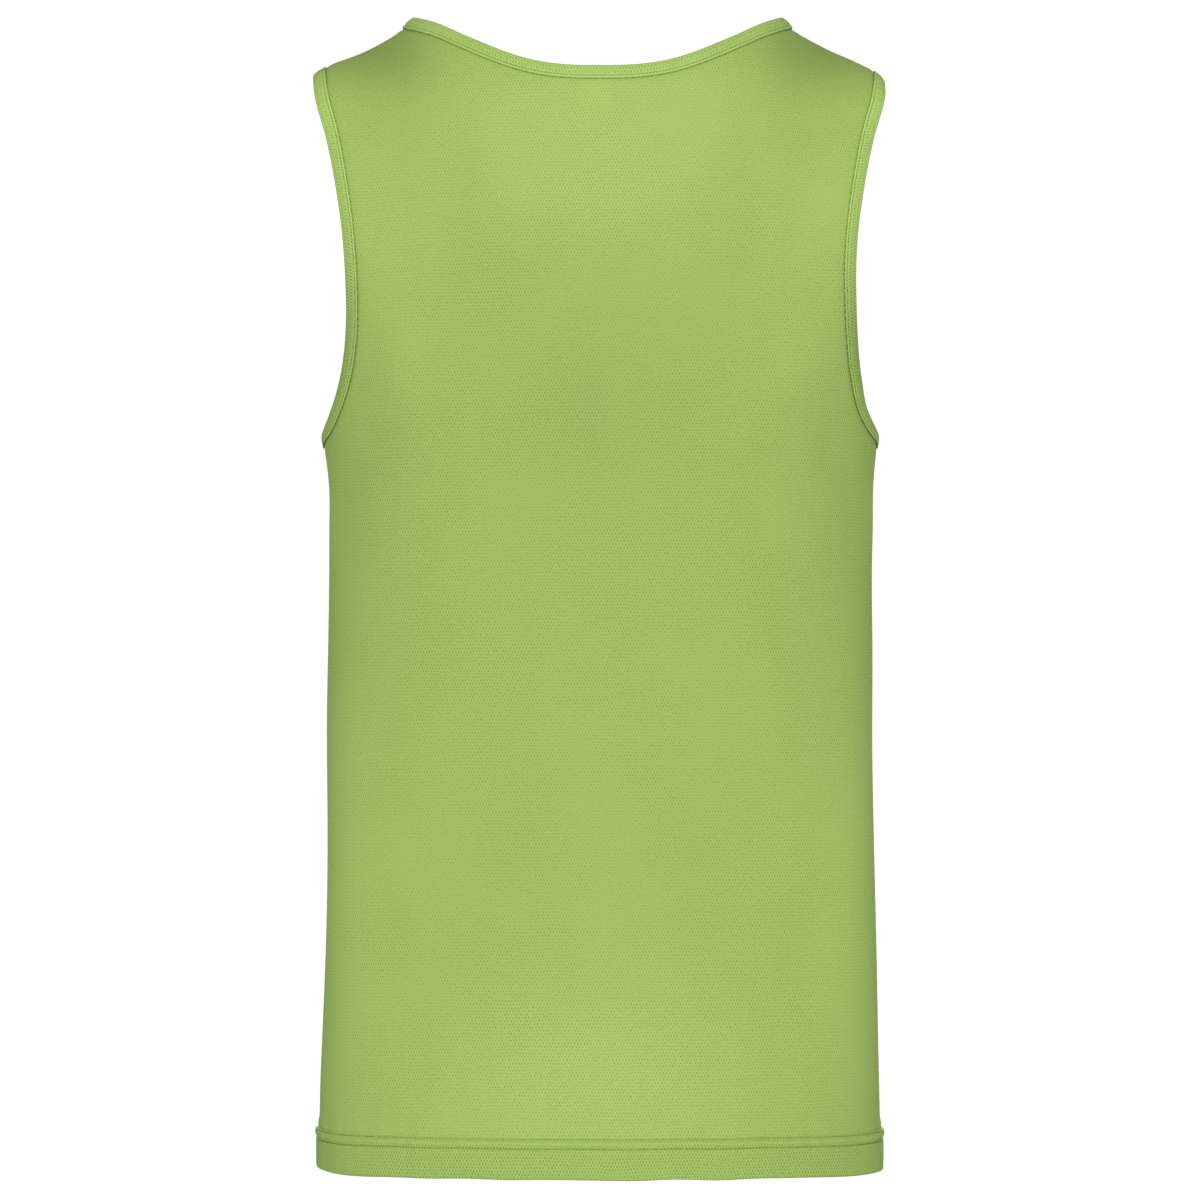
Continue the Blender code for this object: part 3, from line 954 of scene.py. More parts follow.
def add_light(tree: bpy.types.NodeTree, light: Any, first: Any, second: Any, amount: float) -> bpy.types.Node:
    """Makes a material lighter where two things meet.

    Args:
        tree: The material's nodes.
        light: The share of its colour that the material shows.
        first: The strength of the one.
        second: The strength of the other.
        amount: How much lighter it is where both are 1, or darker if negative.

    Returns:
        A node that gives the changed share.
    """
    both = add_node(tree, "Math", {0: first, 1: second}, operation="MULTIPLY")
    return add_node(tree, "Math", {0: both, 1: amount, 2: light}, operation="MULTIPLY_ADD")


def linear(colour: str) -> tuple[float, float, float, float]:
    """Turns an sRGB colour into linear light.

    Args:
        colour: Six hexadecimal digits.

    Returns:
        Red, green, blue and full opacity.
    """
    shares = [int(colour[i : i + 2], 16) / 255 for i in (0, 2, 4)]
    return (*(s / 12.92 if s <= 0.04045 else ((s + 0.055) / 1.055) ** 2.4 for s in shares), 1.0)


@dataclass(frozen=True)
class ShowThrough:
    """A place where a label behind the cloth shows faintly through it, in millimetres.

    Attributes:
        x: Its middle, towards +X.
        half_x: Half its width.
        z: Its middle's height.
        half_z: Half its height.
        lighter: The share by which it is lighter.
        edge_x: Where its dark side edge lies.
        edge: The share by which that edge is lighter.
    """

    x: float = -1.8
    half_x: float = 9.6
    z: float = -24.25
    half_z: float = 12.25
    lighter: float = 0.035
    edge_x: float = 8.8
    edge: float = -0.06


@dataclass(frozen=True)
class ShadeBand:
    """A painted band of shade, or of highlight, along a seam or a row of stitches.

    Attributes:
        up: Its middle, up the flat cloth, in millimetres.
        half: Half its width.
        lighter: The share by which it is lighter.
    """

    up: float
    half: float
    lighter: float


@dataclass(frozen=True)
class PiqueKnit:
    """Bird's-eye pique, a polyester jersey knitted with rows of small dimples in a brick layout.

    Polyester filament gives it a soft satin sheen, and the dimples' shade is painted into their darker
    colour.

    Attributes:
        name: The material's name.
        face: The colour of the face.
        pit_shade: The colour in the dimples, darker for their painted shade.
        pitch: From dimple to dimple in a row, in millimetres.
        rows: From a row to the next but one.
        depth: Of the dimples.
        shade_bands: The painted bands of shade and highlight along its seams.
        label: Where a label shows through, if one does.
        wander: How far the rows stray from straight, in millimetres.
        roughness: Of the face.
        sheen: The strength of the sheen.
    """

    name: str
    face: str
    pit_shade: str
    pitch: float
    rows: float
    depth: float
    shade_bands: tuple[ShadeBand, ...]
    label: ShowThrough | None = None
    wander: float = 1.2
    roughness: float = 0.7
    sheen: float = 0.12

    def material(self) -> bpy.types.Material:
        """Builds the finish.

        Returns:
            The material.
        """
        material, tree, shader = new_finish(self.name)
        flat = add_node(tree, "UVMap", {}, uv_map=UV_NAME)
        worn = add_node(tree, "TexCoord", {}).outputs["Object"]
        dimple = self.dimples(tree, flat, worn)
        # The darker colour in the dimples is painted shade.
        colours = {MIX_SHARE: dimple, MIX_FROM: linear(self.face), MIX_TO: linear(self.pit_shade)}
        knit = add_node(tree, "Mix", colours, data_type="RGBA").outputs[MIX_RESULT]
        # The painted light and shade on the vertices scales the knit's colour.
        painted_tone = add_node(tree, "Attribute", {}, attribute_name=PAINTED_TONE_NAME).outputs["Fac"]
        light = self.shaded(tree, flat, worn, add_node(tree, "Math", {0: painted_tone, 1: 1.0}, operation="ADD"))
        feed(tree, shader, {
            "Base Color": add_node(tree, "VectorMath", {0: knit, "Scale": light}, operation="SCALE"),
            "Normal": add_node(tree, "Bump", {"Height": dimple, "Distance": self.depth * MM}, invert=True),
            "Roughness": self.roughness,
            "Sheen Weight": self.sheen,
            "Sheen Roughness": 0.5,
            "Sheen Tint": linear(self.face),
            "Specular IOR Level": 0.04,
        })
        return material

    def shaded(self, tree: bpy.types.NodeTree, flat: Any, worn: Any, light: bpy.types.Node) -> bpy.types.Node:
        """Lightens the cloth where a label shows through it, and paints shade and highlights along its seams.

        Args:
            tree: The material's nodes.
            flat: Places on the flat cloth.
            worn: Places in the scene.
            light: The share of its colour that the cloth shows.

        Returns:
            A node that gives the changed share.
        """
        if self.label:
            axes = add_node(tree, "SeparateXYZ", {0: worn}).outputs
            label, edge_half = self.label, 0.35
            parts = (
                (label.x, label.half_x, 1.2, 1.2, label.lighter),
                (label.edge_x, edge_half, 0.6, 2.0, label.edge),
            )
            for x, half, soft_x, soft_z, lighter in parts:
                across = add_band(tree, axes["X"], x, half, soft_x)
                upwards = add_band(tree, axes["Z"], label.z, label.half_z, soft_z)
                light = add_light(tree, light, across, upwards, lighter)
        axes = add_node(tree, "SeparateXYZ", {0: flat}).outputs
        # The painted shade and highlight of each band is stronger or weaker from stitch to stitch, as each
        # stitch pulls its crease in a little more or less.
        band_strength = add_patches(tree, flat, per_metre=480.0, detail=0.0, noise=(0.38, 0.62), strength=(0.45, 1.45))
        for shade_band in self.shade_bands:
            band = add_band(tree, axes["Y"], shade_band.up, shade_band.half, soft=0.5)
            light = add_light(tree, light, band, band_strength, shade_band.lighter)
        return light

    def dimples(self, tree: bpy.types.NodeTree, flat: Any, worn: Any) -> bpy.types.Node:
        """Lays out the dimples: two waves multiplied peak in a brick layout.

        Args:
            tree: The material's nodes.
            flat: Places on the flat cloth.
            worn: Places in the scene.

        Returns:
            A node that gives 0 on the face and about 1 in a dimple, and twice that in the pressed hem.
        """
        drift = add_node(tree, "TexNoise", {"Vector": flat, "Scale": 55.0, "Detail": 1.0}).outputs["Color"]
        steps = (2 * self.wander * MM,) * 3
        strayed = add_node(tree, "VectorMath", {0: drift, 1: steps, 2: flat}, operation="MULTIPLY_ADD")
        axes = add_node(tree, "SeparateXYZ", {0: strayed}).outputs
        waves = []
        for axis, pitch in (("X", self.pitch), ("Y", self.rows)):
            turning = {0: axes[axis], 1: 2 * math.pi / (pitch * MM)}
            angle = add_node(tree, "Math", turning, operation="MULTIPLY")
            waves.append(add_node(tree, "Math", {0: angle}, operation="COSINE"))
        peaks = add_node(tree, "Math", dict(enumerate(waves)), operation="MULTIPLY")
        ends = {"From Min": -0.1, "From Max": 0.9}
        pits = add_node(tree, "MapRange", {"Value": peaks, **ends}, interpolation_type="SMOOTHSTEP")
        stretched = add_patches(
            tree, worn, per_metre=14.0, detail=4.5, noise=(0.32, 0.62), strength=(0.6, 1.0)
        )
        loose = add_patches(
            tree, flat, per_metre=620.0, detail=1.0, noise=(0.34, 0.66), strength=(0.5, 1.5)
        )
        pressed = add_node(tree, "MapRange", {
            "Value": axes["Y"],
            "From Min": (HEM_LEVEL + HEM.rows[1]) * MM,
            "From Max": (HEM_LEVEL + HEM.rows[0] - 2.0) * MM,
            "To Min": 1.0,
            "To Max": 2.0,
        })
        deep = add_node(tree, "Math", {0: stretched, 1: loose}, operation="MULTIPLY")
        deep = add_node(tree, "Math", {0: pits, 1: deep}, operation="MULTIPLY")
        return add_node(tree, "Math", {0: deep, 1: pressed}, operation="MULTIPLY")


@dataclass(frozen=True)
class SewingThread:
    """Spun polyester sewing thread, dyed to match the cloth, with a dull face.

    Attributes:
        name: The material's name.
        colour: Its colour.
        bright: How much brighter the light strands of its ply are.
    """

    name: str
    colour: str
    bright: float = 1.25

    def material(self) -> bpy.types.Material:
        """Builds the finish, where the noise stands for the strands of the ply, 0.4 mm apart.

        Returns:
            The material.
        """
        material, tree, shader = new_finish(self.name)
        place = add_node(tree, "TexCoord", {}).outputs["Object"]
        strands = add_node(tree, "TexNoise", {"Vector": place, "Scale": 2500.0})
        light = tuple(min(share * self.bright, 1.0) for share in linear(self.colour))
        colours = {MIX_SHARE: strands, MIX_FROM: linear(self.colour), MIX_TO: light}
        shade = add_node(tree, "Mix", colours, data_type="RGBA").outputs[MIX_RESULT]
        feed(tree, shader, {"Base Color": shade, "Roughness": 0.7, "Sheen Weight": 0.2})
        return material


@dataclass(frozen=True)
class LabelSatin:
    """Woven polyester satin ribbon, plain, with fine ribs across it and a smooth gloss.

    Attributes:
        name: The material's name.
        colour: Its colour.
        rib: From rib to rib, in millimetres, drawn twice as coarse as the real one so that it shows.
        rib_height: Of the ribs.
        shade: The share of its colour that it has between the ribs.
    """

    name: str
    colour: str
    rib: float = 0.5
    rib_height: float = 0.05
    shade: float = 0.86

    def material(self) -> bpy.types.Material:
        """Builds the finish.

        Returns:
            The material.
        """
        material, tree, shader = new_finish(self.name)
        place = add_node(tree, "UVMap", {}, uv_map=UV_NAME)
        along = add_node(tree, "SeparateXYZ", {0: place}).outputs["Y"]
        angle = add_node(tree, "Math", {0: along, 1: 2 * math.pi / (self.rib * MM)}, operation="MULTIPLY")
        ribs = add_node(tree, "Math", {0: angle}, operation="SINE")
        dark = (*(share * self.shade for share in linear(self.colour)[:3]), 1.0)
        colours = {MIX_SHARE: ribs, MIX_FROM: linear(self.colour), MIX_TO: dark}
        feed(tree, shader, {
            "Base Color": add_node(tree, "Mix", colours, data_type="RGBA").outputs[MIX_RESULT],
            "Normal": add_node(tree, "Bump", {"Height": ribs, "Distance": self.rib_height * MM}),
            "Roughness": 0.4,
            "Sheen Weight": 0.1,
        })
        return material


@dataclass(frozen=True)
class StudioPaper:
    """Seamless white studio paper, matt, which the lights keep near white.

    Attributes:
        name: The material's name.
        colour: Its colour.
        glow: How much light it gives off by itself.
    """

    name: str = "white_studio_paper"
    colour: str = "EDEDED"
    glow: float = 0.62

    def material(self) -> bpy.types.Material:
        """Builds the finish.

        Returns:
            The material.
        """
        material, tree, shader = new_finish(self.name)
        feed(tree, shader, {
            "Base Color": linear(self.colour),
            "Roughness": 0.95,
            "Specular IOR Level": 0.0,
            "Emission Color": linear("FFFFFF"),
            "Emission Strength": self.glow,
        })
        return material


@dataclass(frozen=True)
class StitchRow:
    """A row of machine stitches.

    Attributes:
        points: The line that it follows, in millimetres.
        normals: The directions that it faces.
        pitch: From needle hole to needle hole.
        thread: The thread's thickness.
        share: How much of the pitch the thread shows for.
    """

    points: np.ndarray
    normals: np.ndarray
    pitch: float = 2.2
    thread: float = 0.42
    share: float = 0.62

    def sew(self) -> tuple[np.ndarray, np.ndarray]:
        """Lays out the stitches, each a small bead of thread.

        Returns:
            Their vertices in metres, and their faces as rows of three or four of those.
        """
        travelled = travelled_along(self.points)
        count = round(travelled[-1] / self.pitch)
        places = (np.arange(count) + 0.5) * travelled[-1] / count
        reach = self.pitch * self.share / 2
        wanted = ((self.points, -reach), (self.points, reach), (self.points, 0.0), (self.normals, 0.0))
        start, end, middle, up = (
            np.stack([np.interp(places + far, travelled, column) for column in line.T], axis=1)
            for line, far in wanted
        )
        ahead = unit(end - start)
        up = square_to(ahead, up)
        width, height = self.thread / 2, self.thread * 0.4
        axes = np.stack((ahead * reach, np.cross(up, ahead) * width, up * height), axis=1)
        bead = bmesh.new()
        bmesh.ops.create_uvsphere(
            bead, u_segments=6, v_segments=5, radius=1.0, matrix=Matrix.Rotation(math.pi / 2, 4, "Y")
        )
        shape = np.array([vertex.co for vertex in bead.verts])
        corners = [[vertex.index for vertex in face.verts] for face in bead.faces]
        faces = np.array([(*corner, corner[-1])[:4] for corner in corners])
        bead.free()
        points = middle[:, None] + np.einsum("vk,nkc->nvc", shape, axes)
        faces = faces[None] + np.arange(count)[:, None, None] * len(shape)
        return points.reshape(-1, 3) * MM, faces.reshape(-1, 4)


def sewn(name: str, rows: Iterable[StitchRow], material: bpy.types.Material, slot: Slot) -> bpy.types.Object:
    """Makes one piece of rows of stitches.

    Args:
        name: Its name.
        rows: The rows.
        material: The thread.
        slot: The record's slot of the cloth that they are sewn through. Not used.

    Returns:
        The piece.
    """
    points, faces, count = [], [], 0
    for vertices, quads in (row.sew() for row in rows):
        points.append(vertices)
        faces.extend(tuple(dict.fromkeys(quad)) for quad in (quads + count).tolist())
        count += len(vertices)
    mesh = bpy.data.meshes.new(name)
    mesh.from_pydata(np.concatenate(points).tolist(), [], faces)
    return add_piece(name, mesh, material)


@dataclass(frozen=True)
class BodyPanel:
    """The back or the front of the tank, one layer of knit with a turned-up hem.

    Attributes:
        name: The piece's name.
        node: The solid that it stands for.
        form: Its smooth form.
        cut_width: The width of the flat cut, in millimetres. Not used.
        cut_length: Its length, with the turn-up. Not used.
        cut_area: Its area, in square metres. Not used.
        foot_turns: The turns where the patch under the strap stands on the hem.
        tuck_depth: How far the bindings' stitching pulls the cloth in.
        ripple_height: Of the hem's slow waves.
        gather_height: Of the small gathers above its stitches.
        seam_depth: Of the dip along the side seam.
    """

    name: str
    node: str
    form: PanelForm
    cut_width: float
    cut_length: float
    cut_area: float
    foot_turns: tuple[float, float] = (26.0, 56.0)
    tuck_depth: float = 0.45
    ripple_height: float = 0.22
    gather_height: float = 0.16
    seam_depth: float = 0.5

    def patches(self) -> list[tuple[np.ndarray, np.ndarray]]:
        """Lays the panel's half out as grids.

        Returns:
            For each grid, its places as [row, column], rows upwards and columns towards the centre line, and
            how far the bindings' stitching pulls each in, from 0 to 1.
        """
        share = shares_up(900)
        arm = self.form.bound_edge(self.form.armhole(share), ARM_STEPS, -1, ARMHOLE_BINDING)
        neck = self.form.bound_edge(self.form.neckline(share), NECK_STEPS, 1, NECK_BINDING)
        foot = HEM_LEVEL + HEM.foot
        left_turn, right_turn = self.foot_turns
        side_foot = self.stretch(0.0, left_turn, foot, ARM_SPLIT)
        strap_foot = self.stretch(left_turn, right_turn, foot, STRAP_COLUMNS)
        centre_foot = self.stretch(right_turn, CENTRE_TURN, foot, NECK_SPLIT)
        side_rows = STRAP_ROWS - ARM_STEPS + ARM_SPLIT
        centre_rows = STRAP_ROWS - NECK_STEPS + NECK_SPLIT
        left = np.linspace((left_turn, foot), arm.border[ARM_SPLIT], side_rows + 1)
        right = np.linspace((right_turn, foot), neck.border[NECK_SPLIT], centre_rows + 1)
        seam = np.linspace(side_foot[0], arm.border[0], side_rows + 1)
        centre_line = np.linspace(centre_foot[-1], neck.border[0], centre_rows + 1)
        side = filled(side_foot, arm.border[: ARM_SPLIT + 1], seam, left)
        centre = filled(centre_foot, neck.border[NECK_SPLIT::-1], right, centre_line)
        strap = filled(
            strap_foot,
            np.linspace(arm.border[-1], neck.border[-1], STRAP_COLUMNS + 1),
            np.concatenate((left, arm.border[ARM_SPLIT + 1 :])),
            np.concatenate((right, neck.border[NECK_SPLIT + 1 :])),
        )
        turns = np.concatenate((side_foot, strap_foot[1:], centre_foot[1:]))[:, 0]
        hem = places_at(turns[None, :], HEM.levels()[:, None])
        inside = np.linspace(0, 1, 4)[:, None, None]
        arm_strip = (arm.border * (1 - inside) + arm.raw * inside).transpose(1, 0, 2)[:, ::-1]
        neck_strip = (neck.border * (1 - inside) + neck.raw * inside).transpose(1, 0, 2)
        grids = (side, strap, centre, hem, arm_strip, neck_strip)
        tucks = [np.zeros(grid.shape[:2]) for grid in grids]
        side_tuck, strap_tuck, centre_tuck, _, arm_tuck, neck_tuck = tucks
        side_tuck[-1] = centre_tuck[-1] = arm_tuck[:, -1] = neck_tuck[:, 0] = 1.0
        strap_tuck[side_rows:, 0] = strap_tuck[centre_rows:, -1] = 1.0
        return list(zip(grids, tucks))

    def stretch(self, start: float, end: float, level: float, count: int) -> np.ndarray:
        """Places on one level, evenly spaced on the cloth.

        Args:
            start: The first turn.
            end: The last turn.
            level: Their level.
            count: The number of steps.

        Returns:
            count + 1 places.
        """
        return self.form.evenly(places_at(np.linspace(start, end, 600), level), count)

    def flat_cloth(self, places: np.ndarray) -> np.ndarray:
        """Where places lie on the flat cloth, for the knit's pattern.

        Args:
            places: Places on the half towards +X, as [row, column].

        Returns:
            Distances from the centre line and up from the underarm, in millimetres.
        """
        turns, levels = np.linspace(0, CENTRE_TURN, 181), np.linspace(HEM_LEVEL, SHOULDER_LEVEL, 240)
        points = self.form.bare_points(places_at(turns[:, None], levels[None, :]))
        from_side = travelled_along(points)
        from_centre = from_side[-1:] - from_side
        upwards = travelled_along(points.transpose(1, 0, 2)).T + HEM_LEVEL
        turn, level = places[..., 0], np.maximum(places[..., 1], HEM_LEVEL)
        i = np.clip(np.searchsorted(turns, turn) - 1, 0, len(turns) - 2)
        j = np.clip(np.searchsorted(levels, level) - 1, 0, len(levels) - 2)
        a = (turn - turns[i]) / (turns[i + 1] - turns[i])
        b = (level - levels[j]) / (levels[j + 1] - levels[j])
        across, up = (
            (1 - b) * ((1 - a) * table[i, j] + a * table[i + 1, j])
            + b * ((1 - a) * table[i, j + 1] + a * table[i + 1, j + 1])
            for table in (from_centre, upwards)
        )
        return np.stack((across, up + np.minimum(places[..., 1] - HEM_LEVEL, 0.0)), axis=-1)

    def lie(self, places: np.ndarray, tuck: np.ndarray, half: int) -> np.ndarray:
        """Lays places of the cloth on the form, with the hem and the folds.

        Args:
            places: Places, as [row, column].
            tuck: How far stitching pulls each in, from 0 to 1.
            half: 1 on the half towards +X, -1 on the other.

        Returns:
            Points in millimetres.
        """
        level, offset = HEM.lie(places[..., 1])
        on_form = places_at(places[..., 0], level)
        points = self.form.bare_points(on_form, half)
        x, z = points[..., 0], points[..., 2]
        folds = sum(fold.at(x, z) for fold in FINE_FOLDS if fold.side is self.form.side)
        depth = np.abs(points[..., 1])
        offset = offset + folds * depth / (depth + FOLD_FADE)
        offset = offset + self.pucker(places, half) - self.tuck_depth * tuck
        points = points + self.form.normals(on_form, half) * offset[..., None]
        points[..., 2] += self.fold_wave(places, points[..., 0])
        points[..., 1] = self.form.side.value * np.maximum(np.abs(points[..., 1]), SEAM_HALF_GAP)
        return points

    def pucker(self, places: np.ndarray, half: int) -> np.ndarray:
        """The slight unevenness where stitching holds the hem, and the dip at the side seam.

        Args:
            places: Places, as [row, column].
            half: 1 on the half towards +X, -1 on the other.

        Returns:
            How far it lifts the cloth.
        """
        round_body = self.flat_cloth(places)[..., 0] * half
        over_fold = HEM.lie(places[..., 1])[0] - HEM_LEVEL
        sign = self.form.side.value
        ripple = uneven(round_body, wave=17.0, seed=3 + sign) * hump(over_fold, middle=23.0, spread=14.0)
        gathers = uneven(round_body, wave=4.6, seed=5 + sign) * hump(over_fold, middle=26.0, spread=2.2)
        gathered = np.clip(uneven(round_body, wave=110.0, seed=31), 0, 1)
        seam = self.flat_cloth(places_at(0.0, places[..., 1]))[..., 0]
        dip = hump(np.abs(round_body), middle=seam, spread=2.0)
        return self.ripple_height * ripple + self.gather_height * gathers * gathered - self.seam_depth * dip

    def fold_wave(self, places: np.ndarray, x: np.ndarray) -> np.ndarray:
        """How far the hem's fold swings up and down.

        Args:
            places: Places, as [row, column].
            x: Where they lie towards +X.

        Returns:
            The rise of each, fading upwards.
        """
        over_fold = HEM.lie(places[..., 1])[0] - HEM_LEVEL
        sag = 0.8 * hump(x, middle=14.0, spread=30.0) if self.form.side is Side.BACK else 0.0
        return (0.3 * uneven(x, wave=70.0, seed=11) - sag) * hump(over_fold, middle=0.0, spread=22.0)

    def build(self, material: bpy.types.Material) -> bpy.types.Object:
        """Makes the panel.

        Args:
            material: Its finish.

        Returns:
            The piece.
        """
        form = new_form()
        mirror = -self.form.side.value
        for patch, tuck in self.patches():
            flat = self.flat_cloth(patch)
            for half in (1, -1):
                points, uv = self.lie(patch, tuck, half), flat * (half * mirror, 1)
                if half * mirror > 0:
                    points, uv = points[:, ::-1], uv[:, ::-1]
                add_grid(form, points, uv)
        piece = add_piece(self.name, as_mesh(form, self.name), material)
        # Painted light and shade on the panel's colour.
        paint_light_and_shade(piece.data, PAINTED_TONES)
        thicken(piece, CLOTH)
        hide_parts(self.node)
        return piece

    def hem_stitches(self) -> list[StitchRow]:
        """Finds where the hem's stitches show on this panel, from the side seam at +X to the other.

        Returns:
            A row of stitches for each row of the hem.
        """
        found = []
        for over_fold in HEM.rows:
            turns = np.linspace(0.5, CENTRE_TURN, 400)
            line = self.form.evenly(places_at(turns, HEM_LEVEL + over_fold), 300)
            runs = []
            for half in (1, -1):
                points = self.lie(line[None], np.zeros((1, len(line))), half)[0]
                normals = self.form.normals(line, half)
                runs.append((points + normals * CLOTH / 2, normals))
            ends = zip(runs[0], (run[::-1][1:] for run in runs[1]))
            found.append(StitchRow(*(np.concatenate(pair) for pair in ends), pitch=2.7))
        return found


@dataclass(frozen=True)
class Strip:
    """A ring of places along a bound edge, where its binding is folded.

    Attributes:
        border: Points under the binding's border, in millimetres.
        raw: Points on the cloth's cut edge.
        border_normal: The outward directions at the border.
        raw_normal: Those at the cut edge.
        travelled: The distance along the border at each point, with the whole way round last.
        seams: The distances at which it crosses a seam.
        room: How far the border usually lies from the cut edge.
    """

    border: np.ndarray
    raw: np.ndarray
    border_normal: np.ndarray
    raw_normal: np.ndarray
    travelled: np.ndarray
    seams: tuple[float, ...]
    room: float

    @classmethod
    def joined(cls, runs: Sequence[Sequence[np.ndarray]], room: float) -> "Strip":
        """Joins runs end to end into a ring, which crosses a seam at its ends and halfway through the runs.

        Args:
            runs: For each run, its border, cut edge, and the normals at both.
            room: How far the border usually lies from the cut edge.

        Returns:
            The ring, whose last point is its first.
        """
        columns = []
        for parts in zip(*runs):
            ring = parts[0]
            for part in parts[1:]:
                joint = (ring[-1:] + part[:1]) / 2
                ring = np.concatenate((ring[:-1], joint, part[1:]))
            joint = (ring[-1:] + ring[:1]) / 2
            columns.append(np.concatenate((joint, ring[1:-1], joint)))
        travelled = travelled_along((columns[0] + columns[1]) / 2)
        halfway = sum(len(run[0]) - 1 for run in runs[: len(runs) // 2])
        return cls(*columns, travelled, (0.0, float(travelled[halfway]), float(travelled[-1])), room)

    def surface(self, over_border: float, lift: float | np.ndarray) -> tuple[np.ndarray, np.ndarray]:
        """A line along the strip.

        Args:
            over_border: Its distance from the border towards the fold.
            lift: Its distance outside the middle of the cloth, negative inside the garment.

        Returns:
            Its points and its outward directions.
        """
        share = over_border / self.room
        normal = unit(self.border_normal * (1 - share) + self.raw_normal * share)
        return self.border + (self.raw - self.border) * share + normal * np.asarray(lift)[..., None], normal


@dataclass(frozen=True)
class Binding:
    """A folded strip of knit round the neck or an armhole.

    Attributes:
        name: The piece's name.
        node: The solid that it stands for.
        halves: The panels and halves that it runs along, each with whether it runs upwards.
        at_neck: Whether it follows the neckline and not an armhole.
        seed: Which of the many uneven waves its puckers follow.
        fold: Its sizes.
        seam_bulk: How far it stands up where it crosses a seam.
        puckers: The height of its puckers.
        step: The length of its mesh's steps.
    """

    name: str
    node: str
    halves: tuple[tuple[PanelForm, int, bool], ...]
    at_neck: bool
    seed: int
    fold: BindingFold = NECK_BINDING
    seam_bulk: float = 0.45
    puckers: float = 0.1
    step: float = 0.75

    def strip(self) -> Strip:
        """Finds the places that it runs along.

        Returns:
            The ring of them.
        """
        runs = []
        for form, half, upwards in self.halves:
            share = shares_up(1500)
            line = form.neckline(share) if self.at_neck else form.armhole(share)
            count = round(travelled_along(form.bare_points(line))[-1] / self.step)
            edge = form.bound_edge(line, count, 1 if self.at_neck else -1, self.fold)
            lines = (edge.border, edge.raw)
            run = [read(places, half) for read in (form.bare_points, form.normals) for places in lines]
            runs.append([part if upwards else part[::-1] for part in run])
        return Strip.joined(runs, self.fold.room)

    def build(self, material: bpy.types.Material, thread: bpy.types.Material) -> bpy.types.Object:
        """Makes the binding, with a row of stitches on both faces.

        Args:
            material: Its finish.
            thread: The stitches' finish.

        Returns:
            The piece.
        """
        strip, fold = self.strip(), self.fold
        from_seams = np.min([np.abs(strip.travelled - seam) for seam in strip.seams], axis=0)
        pucker = self.puckers * uneven(strip.travelled, wave=5.5, seed=self.seed)
        pucker = pucker * (1 - hump(from_seams, middle=0.0, spread=4.0))
        pucker = pucker + self.seam_bulk * hump(from_seams, middle=0.0, spread=3.0)
        faces = []
        for sign, steps in ((1, fold.rolled), (-1, fold.rolled[::2] + fold.rolled[-1:])):
            face = []
            for over in steps:
                held = math.sin(math.pi * min(over / fold.room, 1.0)) ** 0.5
                face.append(strip.surface(over, sign * (fold.lift(over) + pucker * held))[0])
            faces.append(face)
        outwards = square_to(strip.raw_normal, strip.raw - strip.border)
        bend = [
            strip.raw + fold.middle * (strip.raw_normal * math.cos(angle) + outwards * math.sin(angle))
            for angle in np.linspace(0, math.pi, 8)[1:-1]
        ]
        points = np.stack((*faces[0], *bend, *reversed(faces[1])))
        across = travelled_along(points)[:, :1]
        uv = np.stack(np.broadcast_arrays(strip.travelled[None, :], across), axis=-1)
        form = new_form()
        add_grid(form, points, uv)
        piece = add_piece(self.name, as_mesh(form, self.name), material)
        # Painted light and shade, with the strips' own painted shade and highlights.
        paint_light_and_shade(piece.data, PAINTED_TONES + PAINTED_STRIP_TONES)
        thicken(piece, fold.leaf)
        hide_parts(self.node)
        on_face = fold.lift(fold.stitch_from_border) + fold.leaf / 2 + 0.01
        rows = [StitchRow(*strip.surface(fold.stitch_from_border, sign * on_face)) for sign in (1, -1)]
        stitches = sewn(f"{self.name}_stitches", rows, thread, Slot.BINDING)
        return piece


@dataclass(frozen=True)
class NeckLabel:
    """A blank folded satin label, sewn into the back of the neck binding.

    Attributes:
        name: The piece's name.
        node: The solid that it stands for.
        form: The back's smooth form.
        clear: How far its outer layer's middle lies inside the middle of the cloth.
        gap: From that layer's middle to its inner layer's.
        thickness: Of the ribbon.
        foot_inset: How far its mesh's straight rows end above the solid's foot.
        top_inset: How far they end below the solid's top.
    """

    name: str
    node: str
    form: PanelForm
    clear: float = 1.15
    gap: float = 0.42
    thickness: float = 0.3
    foot_inset: float = 0.6
    top_inset: float = 0.3

    def build(self, material: bpy.types.Material) -> bpy.types.Object:
        """Makes the label in its solid's space.

        Args:
            material: Its finish.

        Returns:
            The piece.
        """
        low, high = (np.array(corner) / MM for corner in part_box(self.node))
        rows, columns = 22, 9
        turns = np.linspace(60, CENTRE_TURN, 400)
        levels = np.linspace(0, self.form.neck_level, 400)
        across = self.form.bare_points(places_at(turns, self.form.neck_level - 20))[:, 0]
        up = self.form.bare_points(places_at(CENTRE_TURN, levels))[:, 2]
        turn = np.interp(np.linspace(high[0], 0, columns), across[::-1], turns[::-1])
        heights = np.linspace(low[2] + self.foot_inset, high[2] - self.top_inset, rows)
        level = np.interp(heights, up, levels)
        angles = np.linspace(0, math.pi, 7)[1:-1]
        radius = self.gap / 2
        looped = np.concatenate((level[::-1], level[0] - radius * np.sin(angles), level))
        outer, inner = np.full(rows, -self.clear), np.full(rows, -self.clear - self.gap)
        offsets = np.concatenate((inner, -self.clear - radius * (1 + np.cos(angles)), outer))
        places = places_at(turn[None, :], looped[:, None])
        form = new_form()
        for half in (1, -1):
            points = self.form.bare_points(places, half)
            points = points + self.form.normals(places, half) * offsets[:, None, None]
            uv = np.stack((points[..., 0], travelled_along(points)), axis=-1)
            if half > 0:
                points, uv = points[:, ::-1], uv[:, ::-1]
            add_grid(form, points, uv)
        piece = add_piece(self.name, as_mesh(form, self.name), material)
        thicken(piece, self.thickness)
        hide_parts(self.node)
        return piece


